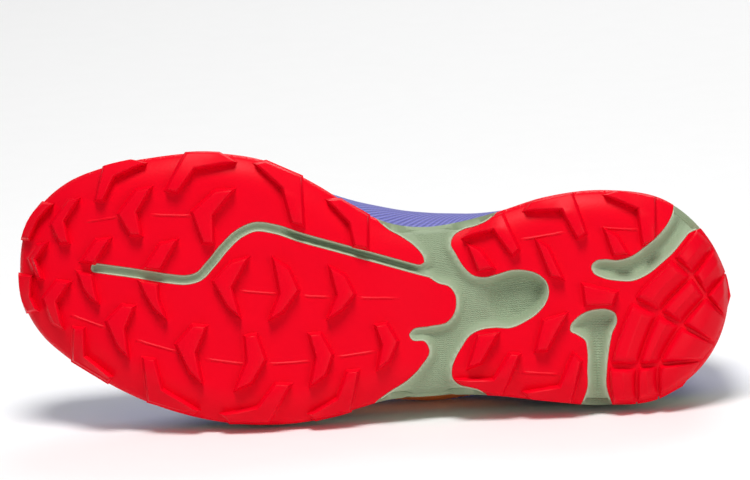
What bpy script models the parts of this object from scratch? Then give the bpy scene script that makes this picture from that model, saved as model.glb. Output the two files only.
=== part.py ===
import math

import bmesh
import bpy
import numpy as np
from mathutils import Matrix, Vector

# A right trail running shoe. It is modelled upright in its own frame, heel at x = 0, toe at +X,
# the foot's inner (medial) side at +Y, the ground at z = 0, and then laid down on its outer side.

# Driving sizes of the sole, in metres
SOLE_LENGTH = 0.300
BALL_WIDTH = 0.114
LUG_HEIGHT = 0.0045
HEEL_BLOCK_HEIGHT = 0.0036
RUBBER_THICKNESS = 0.0028
RUBBER_WRAP = 0.0070
TOE_WRAP = 0.0090
TOE_SPRING = 0.018
HEEL_RISE = 0.0050
ARCH_RISE = 0.0025
EDGE_LIFT = 0.0055
EDGE_BAND = 0.016
HEEL_FOAM = 0.0210
BALL_FOAM = 0.0115
LIP_HEIGHT = 0.0440
LIP_THICKNESS = 0.0034
LIP_SETBACK = 0.0012
RIM_BAND = 0.0050
RIM_STEP = 0.0009

# Driving sizes of the upper
COLLAR_HEIGHT = 0.102
UPPER_WALL = 0.0022
COLLAR_PADDING = 0.0055
OVERLAY_THICKNESS = 0.0011
INSOLE_THICKNESS = 0.0040
INSOLE_RIM = 0.0015
TONGUE_THICKNESS = 0.0038
TONGUE_TOP = 0.040
TONGUE_CROWN = 0.0012
TONGUE_DIP = 0.0030
LACE_WIDTH = 0.0042
LACE_THICKNESS = 0.0020
LACE_CROWN = 0.0030
EYELET_RADIUS = 0.0021
EYELET_PAIRS = 6

# Clearances
FIT_GAP = 0.0003
OVERLAY_GAP = 0.0005
OUTSIDE = 0.030
LUG_SINK = 0.0005
ARCH_COVE = 0.0015
LEDGE_STEP = 0.0002
UPPER_START = 0.0008
PROBE = 0.004
BULGE_BIAS = 0.02

# The plan of the sole is drawn on a grid of squares, so every length in the tables below is a share:
# GRID_LONG squares make the sole's length, counted from the heel, and GRID_WIDE make the ball's width.
GRID_LONG = 714
GRID_WIDE = 271

# Outline of the sole from below: along, medial edge, lateral edge
SOLE_STATIONS = (
    (8, 30, -46),
    (28, 62, -78),
    (64, 90, -104),
    (124, 100, -115),
    (184, 93, -111),
    (232, 78, -106),
    (270, 68, -105),
    (305, 63, -107),
    (340, 67, -110),
    (376, 83, -120),
    (412, 105, -130),
    (460, 128, -135),
    (520, 137, -130),
    (580, 132, -113),
    (628, 122, -90),
    (664, 107, -67),
    (688, 87, -46),
    (704, 64, -21),
)
HEEL_TIP = (0, -6)
TOE_TIP = (711, 22)

# Rear edge of the forefoot rubber, from the medial side over the arch to the lateral side
FOREFOOT_EDGE = (
    (366, 98),
    (356, 76),
    (342, 61),
    (328, 53),
    (314, 43),
    (306, 33),
    (304, 18),
    (292, 7),
    (280, 3),
    (274, -5),
    (273, -13),
    (275, -23),
    (281, -31),
    (300, -36),
    (317, -40),
    (320, -45),
    (317, -50),
    (304, -52),
    (300, -59),
    (309, -77),
    (322, -90),
    (342, -103),
    (354, -113),
    (362, -130),
)

# Middle line of the groove that splits the forefoot rubber, from the toe to the arch
GROOVE = (
    (634, 22),
    (590, 16),
    (558, 11),
    (543, 10),
    (531, 13),
    (518, 26),
    (504, 43),
    (490, 56),
    (474, 63),
    (455, 61),
    (430, 53),
    (390, 42),
    (350, 31),
    (310, 20),
    (262, 8),
)
GROOVE_WIDTH = 10

# Front edge of the heel rubber, from the medial side round the bay in the arch to the lateral side
HEEL_EDGE = (
    (220, 95),
    (230, 80),
    (240, 70),
    (252, 64),
    (266, 60),
    (275, 54),
    (278, 47),
    (273, 36),
    (264, 22),
    (256, 15),
    (245, 13),
    (232, 16),
    (218, 20),
    (204, 20),
    (191, 16),
    (183, 9),
    (180, -2),
    (183, -13),
    (190, -22),
    (204, -32),
    (218, -38),
    (235, -38),
    (248, -40),
    (258, -45),
    (267, -57),
    (274, -70),
    (277, -80),
    (276, -88),
    (270, -94),
    (258, -97),
    (246, -101),
    (236, -114),
)

# Medial and lateral slots through the heel rubber, each from the edge in and back out
MEDIAL_SLOT = (
    (54, 94),
    (57, 76),
    (62, 66),
    (72, 54),
    (85, 43),
    (98, 34),
    (112, 30),
    (125, 31),
    (134, 29),
    (138, 24),
    (136, 17),
    (127, 12),
    (112, 9),
    (96, 9),
    (82, 15),
    (68, 26),
    (55, 38),
    (46, 49),
    (39, 57),
    (32, 60),
    (14, 66),
)
LATERAL_SLOT = (
    (111, -124),
    (118, -110),
    (122, -98),
    (122, -78),
    (120, -60),
    (117, -44),
    (112, -30),
    (114, -23),
    (122, -19),
    (133, -19),
    (144, -22),
    (153, -28),
    (159, -36),
    (159, -41),
    (152, -45),
    (144, -51),
    (142, -60),
    (142, -80),
    (142, -98),
    (146, -110),
    (152, -124),
)

# Lugs, each as corner pairs front and back: at one arm's end, at the bend, at the other arm's end.
# A plain bar has no bend.
FOREFOOT_LUGS = (
    ((688, 87), (677, 86), (703, 75), (692, 70), (710, 52), (701, 50)),
    ((693, 45), (682, 48), (703, 32), (694, 31), (693, 11), (687, 11)),
    ((661, 90), (650, 92), (679, 66), (665, 69), (670, 47), (660, 47)),
    ((599, 132), (583, 127), (626, 125), (615, 113), (634, 90), (626, 89)),
    ((593, 100), (577, 103), (611, 76), (592, 78), (599, 55), (587, 54)),
    ((510, 138), (493, 128), (543, 138), (534, 121), (563, 100), (552, 97)),
    ((514, 99), (494, 101), (537, 78), (516, 75), (526, 47), (515, 46)),
    ((633, 50), (618, 52), (648, 29), (635, 27)),
    ((569, 46), (551, 51), (585, 22), (569, 20)),
    ((463, 128), (474, 126), (428, 113), (447, 102), (425, 64), (437, 67)),
    ((388, 91), (402, 90), (361, 74), (380, 67), (361, 41), (375, 44)),
    ((713, 15), (698, 14), (713, -7), (699, -7), (704, -22), (692, -21)),
    ((673, 9), (659, 8), (687, -8), (673, -12), (677, -33), (666, -39)),
    ((652, 18), (637, 15), (646, 1), (634, -1), (640, -7), (630, -14)),
    ((656, -38), (645, -38), (657, -71), (644, -66), (622, -92), (617, -87)),
    ((607, -15), (594, -16), (623, -31), (604, -38), (612, -56), (600, -68)),
    ((586, -68), (574, -69), (581, -111), (566, -99), (536, -124), (530, -120)),
    ((590, 9), (571, 6), (583, -6), (570, -9), (576, -18), (562, -30)),
    ((498, 28), (480, 33), (516, 9), (497, 3), (502, -16), (488, -28)),
    ((536, -35), (522, -36), (553, -54), (533, -62), (540, -81), (526, -94)),
    ((440, 22), (456, 32), (430, 0), (449, -3), (446, -22), (460, -30)),
    ((384, 15), (400, 24), (374, -4), (392, -5), (387, -20), (402, -29)),
    ((472, -44), (484, -46), (463, -69), (482, -71), (477, -93), (494, -100)),
    ((408, -43), (420, -44), (396, -64), (413, -67), (403, -85), (419, -96)),
    ((342, -33), (354, -35), (331, -51), (347, -55), (339, -70), (352, -80)),
    ((438, -94), (453, -93), (460, -132), (472, -117), (499, -132), (508, -124)),
    ((370, -80), (382, -81), (379, -121), (392, -108), (413, -129), (420, -124)),
)
HEEL_LUGS = (
    ((256, 66), (267, 52), (227, 77), (236, 60), (210, 41), (217, 34)),
    ((249, 40), (262, 46), (235, 22), (251, 19)),
    ((198, 88), (205, 79), (157, 97), (168, 80), (143, 57), (152, 51)),
    ((181, 43), (194, 51), (166, 11), (179, 14)),
    ((109, 100), (125, 95), (74, 93), (92, 81), (74, 50), (87, 45)),
    ((112, 54), (126, 62), (101, 36), (116, 35)),
    ((112, -2), (147, 6), (117, -15), (144, -15)),
    ((162, -23), (186, -30), (182, -60), (194, -61)),
    ((230, -42), (251, -45), (248, -73), (261, -78)),
    ((209, -64), (219, -63), (227, -106), (236, -89), (266, -97), (274, -89)),
    ((148, -71), (156, -63), (158, -113), (170, -96), (197, -111), (206, -102)),
)

# Corners of the crash pad's blocks: a row for each cross groove, from the inner edge to the outside
HEEL_BLOCKS = (
    ((32, 62), (14, 43), (2, 18), (-3, -6)),
    ((57, 32), (37, 14), (23, -6), (3, -28)),
    ((97, -10), (70, -23), (48, -35), (13, -54)),
    ((120, -76), (91, -76), (70, -74), (25, -70)),
    ((117, -116), (92, -115), (70, -110), (46, -97)),
)
BLOCK_GROOVE = 5

# Top of the midsole's lip, going round each side from the heel (0) to the toe (1):
# way round, medial height, lateral height, as shares of LIP_HEIGHT
LIP_ROWS = (
    (0.00, 1.00, 1.00),
    (0.12, 0.92, 0.92),
    (0.27, 0.88, 0.86),
    (0.42, 0.92, 0.80),
    (0.56, 0.72, 0.68),
    (0.70, 0.60, 0.60),
    (0.82, 0.62, 0.62),
    (0.92, 0.82, 0.82),
    (1.00, 0.98, 0.98),
)

# The upper's sides from the heel (0) to the toe (1). The top edge is the collar and then the throat:
# its place along is a share of SOLE_LENGTH, across of BALL_WIDTH, up of COLLAR_HEIGHT. Lean is the wall's
# outward slope over the midsole and dip the slope down from the top edge, in degrees; each reach is a share
# of the straight way up, and so says how far that slope lasts.
UPPER_COLUMNS = ("way", "along", "across", "up", "lean", "wall_reach", "dip", "top_reach")
MEDIAL_ROWS = (
    (0.00, 0.048, 0.00, 1.00, 12, 0.40, 76, 0.30),
    (0.10, 0.070, 0.15, 0.96, 12, 0.40, 80, 0.30),
    (0.20, 0.165, 0.26, 0.83, 14, 0.40, 84, 0.30),
    (0.28, 0.255, 0.28, 0.785, 20, 0.42, 84, 0.30),
    (0.35, 0.325, 0.25, 0.86, 27, 0.44, 72, 0.30),
    (0.41, 0.380, 0.19, 0.985, 33, 0.47, 52, 0.36),
    (0.48, 0.450, 0.165, 0.955, 35, 0.48, 42, 0.38),
    (0.57, 0.545, 0.150, 0.870, 18, 0.42, 34, 0.38),
    (0.66, 0.625, 0.135, 0.790, 0, 0.36, 28, 0.38),
    (0.74, 0.680, 0.110, 0.740, -4, 0.32, 22, 0.40),
    (0.82, 0.705, 0.070, 0.712, -6, 0.26, 16, 0.44),
    (0.91, 0.715, 0.035, 0.700, -8, 0.22, 11, 0.46),
    (1.00, 0.719, 0.00, 0.695, -8, 0.22, 9, 0.46),
)
LATERAL_ROWS = (
    (0.00, 0.048, 0.00, 1.00, 12, 0.40, 76, 0.30),
    (0.10, 0.070, -0.15, 0.95, 4, 0.40, 80, 0.30),
    (0.20, 0.165, -0.27, 0.80, -4, 0.40, 82, 0.30),
    (0.28, 0.255, -0.30, 0.745, 4, 0.44, 82, 0.30),
    (0.35, 0.325, -0.27, 0.83, 22, 0.48, 74, 0.30),
    (0.41, 0.380, -0.21, 0.965, 29, 0.48, 56, 0.36),
    (0.48, 0.450, -0.185, 0.935, 21, 0.44, 46, 0.38),
    (0.57, 0.545, -0.165, 0.855, 0, 0.37, 38, 0.38),
    (0.66, 0.625, -0.145, 0.780, -10, 0.34, 31, 0.38),
    (0.74, 0.680, -0.115, 0.735, -10, 0.30, 24, 0.40),
    (0.82, 0.705, -0.070, 0.710, -8, 0.26, 17, 0.44),
    (0.91, 0.715, -0.035, 0.700, -8, 0.22, 11, 0.46),
    (1.00, 0.719, 0.00, 0.695, -8, 0.22, 9, 0.46),
)
THROAT_WAY = 0.41
LAST_EYELET_WAY = 0.72


# Smooth curves through a few points

def curve_value(keys, values, at):
    """The value at a place, on a smooth curve through the given rows."""
    keys, values = np.asarray(keys, float), np.asarray(values, float)
    slopes = np.gradient(values, keys)
    left = np.clip(np.searchsorted(keys, at, side="right") - 1, 0, len(keys) - 2)
    step = keys[left + 1] - keys[left]
    f = np.clip((at - keys[left]) / step, 0, 1)
    return (
        (1 + 2 * f) * (1 - f) ** 2 * values[left]
        + f * (1 - f) ** 2 * step * slopes[left]
        + f * f * (3 - 2 * f) * values[left + 1]
        + f * f * (f - 1) * step * slopes[left + 1]
    )


def smooth_line(points, count, closed=False):
    """Evenly spaced points on a smooth line through the given ones."""
    points = np.asarray(points, float)
    if closed:
        points = np.vstack([points[-3:], points, points[:4]])
    way = np.concatenate([[0], np.cumsum(np.linalg.norm(np.diff(points, axis=0), axis=1))])
    first, last = (way[3], way[-4]) if closed else (way[0], way[-1])
    at = np.linspace(first, last, 12 * count)
    fine = np.column_stack([curve_value(way, column, at) for column in points.T])
    run = np.concatenate([[0], np.cumsum(np.linalg.norm(np.diff(fine, axis=0), axis=1))])
    even = np.linspace(0, run[-1], count, endpoint=not closed)
    return np.column_stack([np.interp(even, run, column) for column in fine.T])


def on_plan(points):
    """Grid squares turned into metres."""
    return np.asarray(points, float) * (SOLE_LENGTH / GRID_LONG, BALL_WIDTH / GRID_WIDE)


# The sole's plan and its lower face

def side_lines():
    """The medial and the lateral edge from the heel's tip to the toe's, as dense evenly spaced points."""
    stations = np.array(SOLE_STATIONS, float)
    medial = stations[:, [0, 1]]
    lateral = stations[::-1][:, [0, 2]]
    ring = smooth_line(on_plan(np.vstack([HEEL_TIP, medial, TOE_TIP, lateral])), 1400, closed=True)
    toe = int(np.argmin(np.linalg.norm(ring - on_plan(TOE_TIP), axis=1)))
    out = []
    for line in (ring[: toe + 1], np.vstack([ring[toe:], ring[:1]])[::-1]):
        out.append(smooth_line(line, 700))
    return out


MEDIAL_LINE, LATERAL_LINE = side_lines()
RIM = np.vstack([MEDIAL_LINE, LATERAL_LINE[::-1]])


def rim_normals(line, outward):
    along = np.gradient(line, axis=0)
    normal = np.column_stack([-along[:, 1], along[:, 0]]) * outward
    return normal / np.linalg.norm(normal, axis=1)[:, None]


RIM_NORMALS = np.vstack([rim_normals(MEDIAL_LINE, 1), rim_normals(LATERAL_LINE, -1)[::-1]])


def rim_point(way, side, inset=0.0):
    """A point of the sole's edge: way is 0 at the heel and 1 at the toe, side is 1 medial, -1 lateral."""
    line = MEDIAL_LINE if side > 0 else LATERAL_LINE
    normal = rim_normals(line, side)
    if way in (0, 1):
        normal[0 if way == 0 else -1] = (-1, 0) if way == 0 else (1, 0)
    place = way * (len(line) - 1)
    steps = np.arange(len(line))
    point = np.array([np.interp(place, steps, column) for column in line.T])
    out = np.array([np.interp(place, steps, column) for column in normal.T])
    return point - inset * out / np.linalg.norm(out)


def edge_distance(x, y):
    """How far inside the sole's outline a point is."""
    gap = np.array([x, y]) - RIM
    near = int(np.argmin((gap**2).sum(axis=1)))
    return -float(gap[near] @ RIM_NORMALS[near])


def spring(x):
    """How far the sole's middle is off the ground plane: up at the toe, a little at the heel and arch."""
    share = x / SOLE_LENGTH
    toe = max(0.0, (share - 0.64) / 0.36) ** 2.1 * TOE_SPRING
    heel = max(0.0, (0.12 - share) / 0.12) ** 2 * HEEL_RISE
    arch = math.exp(-(((share - 0.40) / 0.07) ** 2)) * ARCH_RISE
    return toe + heel + arch


def rubber_face(x, y):
    """Height of the rubber's outer face, which the lugs stand on."""
    near_edge = min(1.0, max(0.0, 1 - edge_distance(x, y) / EDGE_BAND))
    return LUG_HEIGHT + spring(x) + EDGE_LIFT * near_edge**2.4


def floor_height(x):
    """Height of the midsole's upper face, inside its lip."""
    share = np.clip(x / SOLE_LENGTH, 0, 1)
    foam = curve_value((0, 0.25, 0.45, 0.68, 0.85, 1), (1, 1, 0.9, 0.55, 0.48, 0.44), share)
    foam = float(foam) * HEEL_FOAM + (BALL_FOAM - 0.55 * HEEL_FOAM) * min(1.0, share / 0.68)
    return LUG_HEIGHT + RUBBER_THICKNESS + 0.85 * spring(x) + foam


def lip_top(way, side):
    column = 1 if side > 0 else 2
    rows = np.array(LIP_ROWS)
    return float(curve_value(rows[:, 0], rows[:, column], way)) * LIP_HEIGHT


def wrap_height(way):
    """How far the rubber climbs the side: more round the toe."""
    return RUBBER_WRAP + (TOE_WRAP - RUBBER_WRAP) * max(0.0, (way - 0.75) / 0.25)


# Ways round the sole from heel to toe, closer together at both ends. Sole and upper share them.
SECTIONS = 30
WAYS = [k / SECTIONS - 0.08 * math.sin(2 * math.pi * k / SECTIONS) for k in range(SECTIONS + 1)]


# Meshes and objects

def add_object(name, mesh, colour=None, roughness=0.6):
    obj = bpy.data.objects.new(name, mesh)
    (PARTS if colour else CUTTERS).objects.link(obj)
    obj.parent = SHOE
    if colour:
        obj.data.materials.append(finish(name, colour, roughness))
    else:
        obj.hide_render = True
        obj.display_type = "WIRE"
    return obj


def finish(name, colour, roughness):
    material = bpy.data.materials.new(name)
    material.use_nodes = True
    shader = material.node_tree.nodes["Principled BSDF"]
    shader.inputs["Base Color"].default_value = (*colour, 1)
    shader.inputs["Roughness"].default_value = roughness
    shader.inputs["Metallic"].default_value = 0
    return material


def mesh_from(bm, name):
    bmesh.ops.recalc_face_normals(bm, faces=bm.faces)
    mesh = bpy.data.meshes.new(name)
    bm.to_mesh(mesh)
    bm.free()
    return mesh


def loft(name, rings):
    """A closed solid through rings of points. An end ring may fold onto a line or a point."""
    bm = bmesh.new()
    grid = [[bm.verts.new(point) for point in ring] for ring in rings]
    around = len(grid[0])
    for near, far in zip(grid, grid[1:]):
        for k in range(around):
            n = (k + 1) % around
            bm.faces.new((near[k], near[n], far[n], far[k]))
    bmesh.ops.remove_doubles(bm, verts=bm.verts, dist=1e-5)
    open_edges = [edge for edge in bm.edges if edge.is_boundary]
    if open_edges:
        bmesh.ops.holes_fill(bm, edges=open_edges, sides=0)
    bmesh.ops.dissolve_degenerate(bm, dist=1e-6, edges=bm.edges)
    bmesh.ops.triangulate(bm, faces=bm.faces)
    return mesh_from(bm, name)


def sheet(name, rows, closed):
    """An open surface through rows of points, for a Solidify. A closed one joins its last row to its first."""
    bm = bmesh.new()
    grid = [[bm.verts.new(point) for point in row] for row in rows]
    pairs = list(zip(grid, grid[1:] + grid[:1])) if closed else list(zip(grid, grid[1:]))
    for near, far in pairs:
        for k in range(len(near) - 1):
            bm.faces.new((near[k], near[k + 1], far[k + 1], far[k]))
    bmesh.ops.remove_doubles(bm, verts=bm.verts, dist=1e-5)
    return mesh_from(bm, name)


def evaluated_mesh(obj):
    bpy.context.view_layer.update()
    graph = bpy.context.evaluated_depsgraph_get()
    return bpy.data.meshes.new_from_object(obj.evaluated_get(graph))


def prism(name, points, low=-0.01, high=0.08):
    """A tall solid over a flat outline, from a filled 2D curve."""
    curve = bpy.data.curves.new(name, "CURVE")
    curve.dimensions = "2D"
    curve.fill_mode = "BOTH"
    curve.extrude = (high - low) / 2
    spline = curve.splines.new("POLY")
    spline.points.add(len(points) - 1)
    for place, (x, y) in zip(spline.points, points):
        place.co = (x, y, 0, 1)
    spline.use_cyclic_u = True
    outline = bpy.data.objects.new(name, curve)
    CUTTERS.objects.link(outline)
    mesh = evaluated_mesh(outline)
    bpy.data.objects.remove(outline)
    bm = bmesh.new()
    bm.from_mesh(mesh)
    bmesh.ops.remove_doubles(bm, verts=bm.verts, dist=1e-5)
    bmesh.ops.translate(bm, verts=bm.verts, vec=(0, 0, (high + low) / 2))
    return add_object(name, mesh_from(bm, name))


def boolean(obj, operation, other):
    step = obj.modifiers.new(other.name, "BOOLEAN")
    step.operation = operation
    step.object = other


def joined(name, meshes):
    bm = bmesh.new()
    for mesh in meshes:
        bm.from_mesh(mesh)
    return mesh_from(bm, name)


def solidify(obj, thickness, offset):
    step = obj.modifiers.new("wall", "SOLIDIFY")
    step.thickness = thickness
    step.offset = offset
    step.use_even_offset = True
    return step


# The rubber outsole: a wrapped skin cut to its plan, with the lugs joined on

SECTION_SHARES = (0, 0.08, 0.26, 0.60, 1)


def chord(way, inset, shares):
    """Points across the sole from the lateral edge to the medial one."""
    lateral = rim_point(way, -1, inset)
    medial = rim_point(way, 1, inset)
    middle = (lateral + medial) / 2
    half = [lateral + (middle - lateral) * share for share in shares]
    return half + [medial + (middle - medial) * share for share in shares[-2::-1]]


def rubber_skin(name, ways):
    rings = []
    for way in ways:
        outer = [(x, y, rubber_face(x, y)) for x, y in chord(way, 0, SECTION_SHARES)]
        inner = [
            (x, y, rubber_face(x, y) + RUBBER_THICKNESS)
            for x, y in chord(way, RUBBER_THICKNESS, SECTION_SHARES)
        ]
        walls = []
        for out, back in ((outer[0], inner[0]), (outer[-1], inner[-1])):
            top = out[2] + wrap_height(way)
            walls.append([(*back[:2], top), (*out[:2], top)])
        rings.append([*walls[0], *outer, *walls[1][::-1], *inner[::-1]])
    return loft(name, rings)


def lug_solid(corners, height, draft, sink=LUG_SINK):
    """One lug: its outline drawn in by the draft towards the tip, both following the rubber's face."""
    plan = on_plan(corners)
    centre = plan.mean(axis=0)
    rings = []
    for share, level in ((1.0, -sink), (draft, height)):
        ring = centre + (plan - centre) * share
        rings.append([(x, y, rubber_face(*point) - level) for (x, y), point in zip(ring, plan)])
    bm = bmesh.new()
    root, tip = ([bm.verts.new(point) for point in ring] for ring in rings)
    bm.faces.new(root)
    bm.faces.new(tip[::-1])
    for k in range(len(plan)):
        n = (k + 1) % len(plan)
        bm.faces.new((root[n], root[k], tip[k], tip[n]))
    bmesh.ops.triangulate(bm, faces=bm.faces)
    return mesh_from(bm, "lug")


def lug_outline(row):
    """Corner pairs turned into one outline: the fronts down one side and the backs up the other."""
    pairs = np.array(row, float).reshape(-1, 2, 2)
    return [pair[0] for pair in pairs] + [pair[1] for pair in pairs[::-1]]


def block_outlines():
    """The crash pad's blocks, each drawn in by half a groove from its grid cell."""
    grid = np.array(HEEL_BLOCKS, float)
    outlines = []
    for i in range(len(grid) - 1):
        for j in range(grid.shape[1] - 1):
            cell = np.array([grid[i, j], grid[i, j + 1], grid[i + 1, j + 1], grid[i + 1, j]])
            centre = cell.mean(axis=0)
            reach = np.linalg.norm(cell - centre, axis=1)[:, None]
            outlines.append(cell - (cell - centre) / reach * BLOCK_GROOVE * math.sqrt(0.5))
    return outlines


def outsole(name, ways, plan, cuts, lugs):
    skin = add_object(name, rubber_skin(name, ways), RED, 0.55)
    boolean(skin, "INTERSECT", plan)
    for cut in cuts:
        boolean(skin, "DIFFERENCE", cut)
    boolean(skin, "UNION", add_object(name + "_lugs", joined(name + "_lugs", lugs)))
    return skin


def ribbon(points, width):
    """The outline of a strip of one width along a line."""
    line = smooth_line(points, 24)
    along = np.gradient(line, axis=0)
    along /= np.linalg.norm(along, axis=1)[:, None]
    side = np.column_stack([-along[:, 1], along[:, 0]]) * width / 2
    start = line[0] - along[0] * width * 0.4
    return np.vstack([line + side, (line - side)[::-1], [start]])


def build_outsoles():
    far = OUTSIDE
    edge = smooth_line(on_plan(FOREFOOT_EDGE), 40)
    front = [(SOLE_LENGTH + far, -BALL_WIDTH), (SOLE_LENGTH + far, BALL_WIDTH)]
    ends = [(edge[0][0], BALL_WIDTH), (edge[-1][0], -BALL_WIDTH)]
    forefoot_plan = prism("forefoot_plan", [*front, ends[0], *edge, ends[1]])
    edge = smooth_line(on_plan(HEEL_EDGE), 46)
    back = [(-far, -BALL_WIDTH), (-far, BALL_WIDTH)]
    ends = [(edge[0][0], BALL_WIDTH), (edge[-1][0], -BALL_WIDTH)]
    heel_plan = prism("heel_plan", [*back, ends[0], *edge, ends[1]])
    groove = prism("groove", ribbon(on_plan(GROOVE), GROOVE_WIDTH * SOLE_LENGTH / GRID_LONG))
    slots = [
        prism("medial_slot", smooth_line(on_plan(MEDIAL_SLOT), 24)),
        prism("lateral_slot", smooth_line(on_plan(LATERAL_SLOT), 24)),
    ]
    lugs = [lug_solid(lug_outline(row), LUG_HEIGHT, 0.90) for row in FOREFOOT_LUGS]
    outsole("outsole_forefoot", [way for way in WAYS if way > 0.36], forefoot_plan, [groove], lugs)
    lugs = [lug_solid(lug_outline(row), LUG_HEIGHT, 0.90) for row in HEEL_LUGS]
    lugs += [lug_solid(outline, HEEL_BLOCK_HEIGHT, 0.84) for outline in block_outlines()]
    outsole("outsole_heel", [way for way in WAYS if way < 0.56], heel_plan, slots, lugs)


# The midsole: a cupped foam body inside the rubber's skin, with a lip that holds the upper

CUP_INSET = LIP_SETBACK + LIP_THICKNESS


def waist_share(x):
    """1 in the arch, where no rubber covers the side, and 0 under the rubber."""
    return math.exp(-((abs(x / SOLE_LENGTH - 0.42) / 0.029) ** 6))


def midsole_wall(way, side):
    """The side's section from the bottom edge up over the lip: (inset, height) pairs."""
    under = RUBBER_THICKNESS + FIT_GAP
    x, y = rim_point(way, side)
    low = rubber_face(x, y)
    ledge = low + wrap_height(way) + 1.7 * FIT_GAP
    lip = lip_top(way, side)
    band = min(RIM_BAND, (lip - ledge) * 0.5)
    open_arch = waist_share(x)
    cove = under + (ARCH_COVE - under) * open_arch
    return [
        (cove, ledge),
        (cove * open_arch, ledge + LEDGE_STEP),
        (RIM_STEP * (1 - 0.4 * open_arch), lip - band - RIM_STEP),
        (0.0, lip - band),
        (LIP_SETBACK, lip),
        (CUP_INSET, lip),
    ]


def build_midsole():
    rings = []
    under = RUBBER_THICKNESS + FIT_GAP
    for way in WAYS:
        bottom = [(x, y, rubber_face(x, y) + under) for x, y in chord(way, under, SECTION_SHARES)]
        walls = {}
        for side in (-1, 1):
            walls[side] = [(*rim_point(way, side, inset), z) for inset, z in midsole_wall(way, side)]
        top = [(x, y, floor_height(x)) for x, y in chord(way, CUP_INSET, (0, 0.15, 0.5, 1))]
        rings.append([*walls[-1][::-1], *bottom, *walls[1], *top[::-1]])
    return add_object("midsole", loft("midsole", rings), SAGE, 0.75)


# The upper: one open shell between the midsole's cup and the edge of collar and throat

def upper_row(way, side):
    rows = np.array(MEDIAL_ROWS if side > 0 else LATERAL_ROWS)
    return {
        name: float(curve_value(rows[:, 0], rows[:, k], way)) for k, name in enumerate(UPPER_COLUMNS)
    }


def upper_top(way, side):
    row = upper_row(way, side)
    return Vector((row["along"] * SOLE_LENGTH, row["across"] * BALL_WIDTH, row["up"] * COLLAR_HEIGHT))


def upper_point(way, side, rise):
    """A point of the upper's outer face: rise is -1 at the cup's floor, 0 at the lip and 1 at the top edge."""
    x, y = rim_point(way, side, CUP_INSET + FIT_GAP)
    start = Vector((x, y, lip_top(way, side) + UPPER_START))
    if rise <= 0:
        floor = floor_height(x) + FIT_GAP
        return start.lerp(Vector((x, y, floor)), -rise)
    row = upper_row(way, side)
    top = upper_top(way, side)
    out = start - Vector((*rim_point(way, side, CUP_INSET + FIT_GAP + PROBE), start.z))
    out.normalize()
    away = Vector((start.x - top.x, start.y - top.y, 0))
    away = (away * 0.5 + out * BULGE_BIAS).normalized()
    reach = (top - start).length
    lean, dip = math.radians(row["lean"]), math.radians(row["dip"])
    low = start + (Vector((0, 0, math.cos(lean))) + out * math.sin(lean)) * reach * row["wall_reach"]
    high = top + (away * math.cos(dip) - Vector((0, 0, math.sin(dip)))) * reach * row["top_reach"]
    a, b = 1 - rise, rise
    return start * a**3 + low * 3 * a * a * b + high * 3 * a * b * b + top * b**3


def upper_normal(way, side, rise):
    """The outward direction of the upper's face."""
    step = 0.004
    way = min(1 - step, max(step, way))
    along = upper_point(way + step, side, rise) - upper_point(way - step, side, rise)
    low, high = max(rise - step, 0.0001), min(rise + step, 1)
    up = upper_point(way, side, high) - upper_point(way, side, low)
    return (along.cross(up) * -side).normalized()


UPPER_RISES = (-1, -0.2, 0.001, 0.18, 0.38, 0.60, 0.80, 1)


def build_upper():
    stations = [(way, 1) for way in WAYS] + [(way, -1) for way in WAYS[-2:0:-1]]
    rows = [[upper_point(way, side, rise) for rise in UPPER_RISES] for way, side in stations]
    upper = add_object("upper", sheet("upper", rows, closed=True), VIOLET, 0.85)
    thick = upper.vertex_groups.new(name="thick")
    for vertex in upper.data.vertices:
        place = vertex.co
        near = [k for k, row in enumerate(rows) if min((place - p).length for p in row) < 1e-5][0]
        level = int(np.argmin([(place - p).length for p in rows[near]]))
        rise = max(0.0, (UPPER_RISES[level] - 0.4) / 0.6)
        behind = min(1.0, max(0.0, (THROAT_WAY - 0.03 - stations[near][0]) / 0.08))
        thick.add([vertex.index], min(1.0, 2.2 * rise) * behind, "REPLACE")
    wall = solidify(upper, UPPER_WALL + COLLAR_PADDING, -1)
    wall.vertex_group = "thick"
    wall.thickness_vertex_group = UPPER_WALL / (UPPER_WALL + COLLAR_PADDING)
    return upper


# Overlays on the upper: each is a strip of the upper's own face, lifted off it

def overlay(name, stations, edges, colour, levels=5):
    """A solid strip. edges(way, side) gives the rise of its lower and of its upper edge."""
    rows = []
    for way, side in stations:
        low, high = edges(way, side)
        row = []
        for k in range(levels + 1):
            rise = low + (high - low) * k / levels
            row.append(upper_point(way, side, rise) + upper_normal(way, side, rise) * OVERLAY_GAP)
        rows.append(row)
    strip = add_object(name, sheet(name, rows, closed=False), colour, 0.6)
    solidify(strip, OVERLAY_THICKNESS, 1)
    return strip


def stretch(first, last, side):
    """The upper's own stations between two of them."""
    step = 1 if last > first else -1
    return [(way, side) for way in WAYS[::step] if min(first, last) <= way <= max(first, last)]


def toe_cap_edges(way, side):
    share = max(0, (way - 0.68) / 0.32)
    return 0.02, 0.08 + 0.22 * math.sin(min(1, share) * math.pi / 2) ** 2


def heel_counter_edges(way, side):
    share = way / 0.30
    return 0.03, 0.12 + 0.50 * (1 - share**2)


def eyestay_edges(way, side):
    return 0.74, 0.985


def quarter_edges(way, side):
    """A saddle panel on the lateral side, high at the laces and low over the arch."""
    share = min(1, abs(way - 0.44) / 0.13)
    return 0.03, 0.34 - 0.22 * share**2


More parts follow.
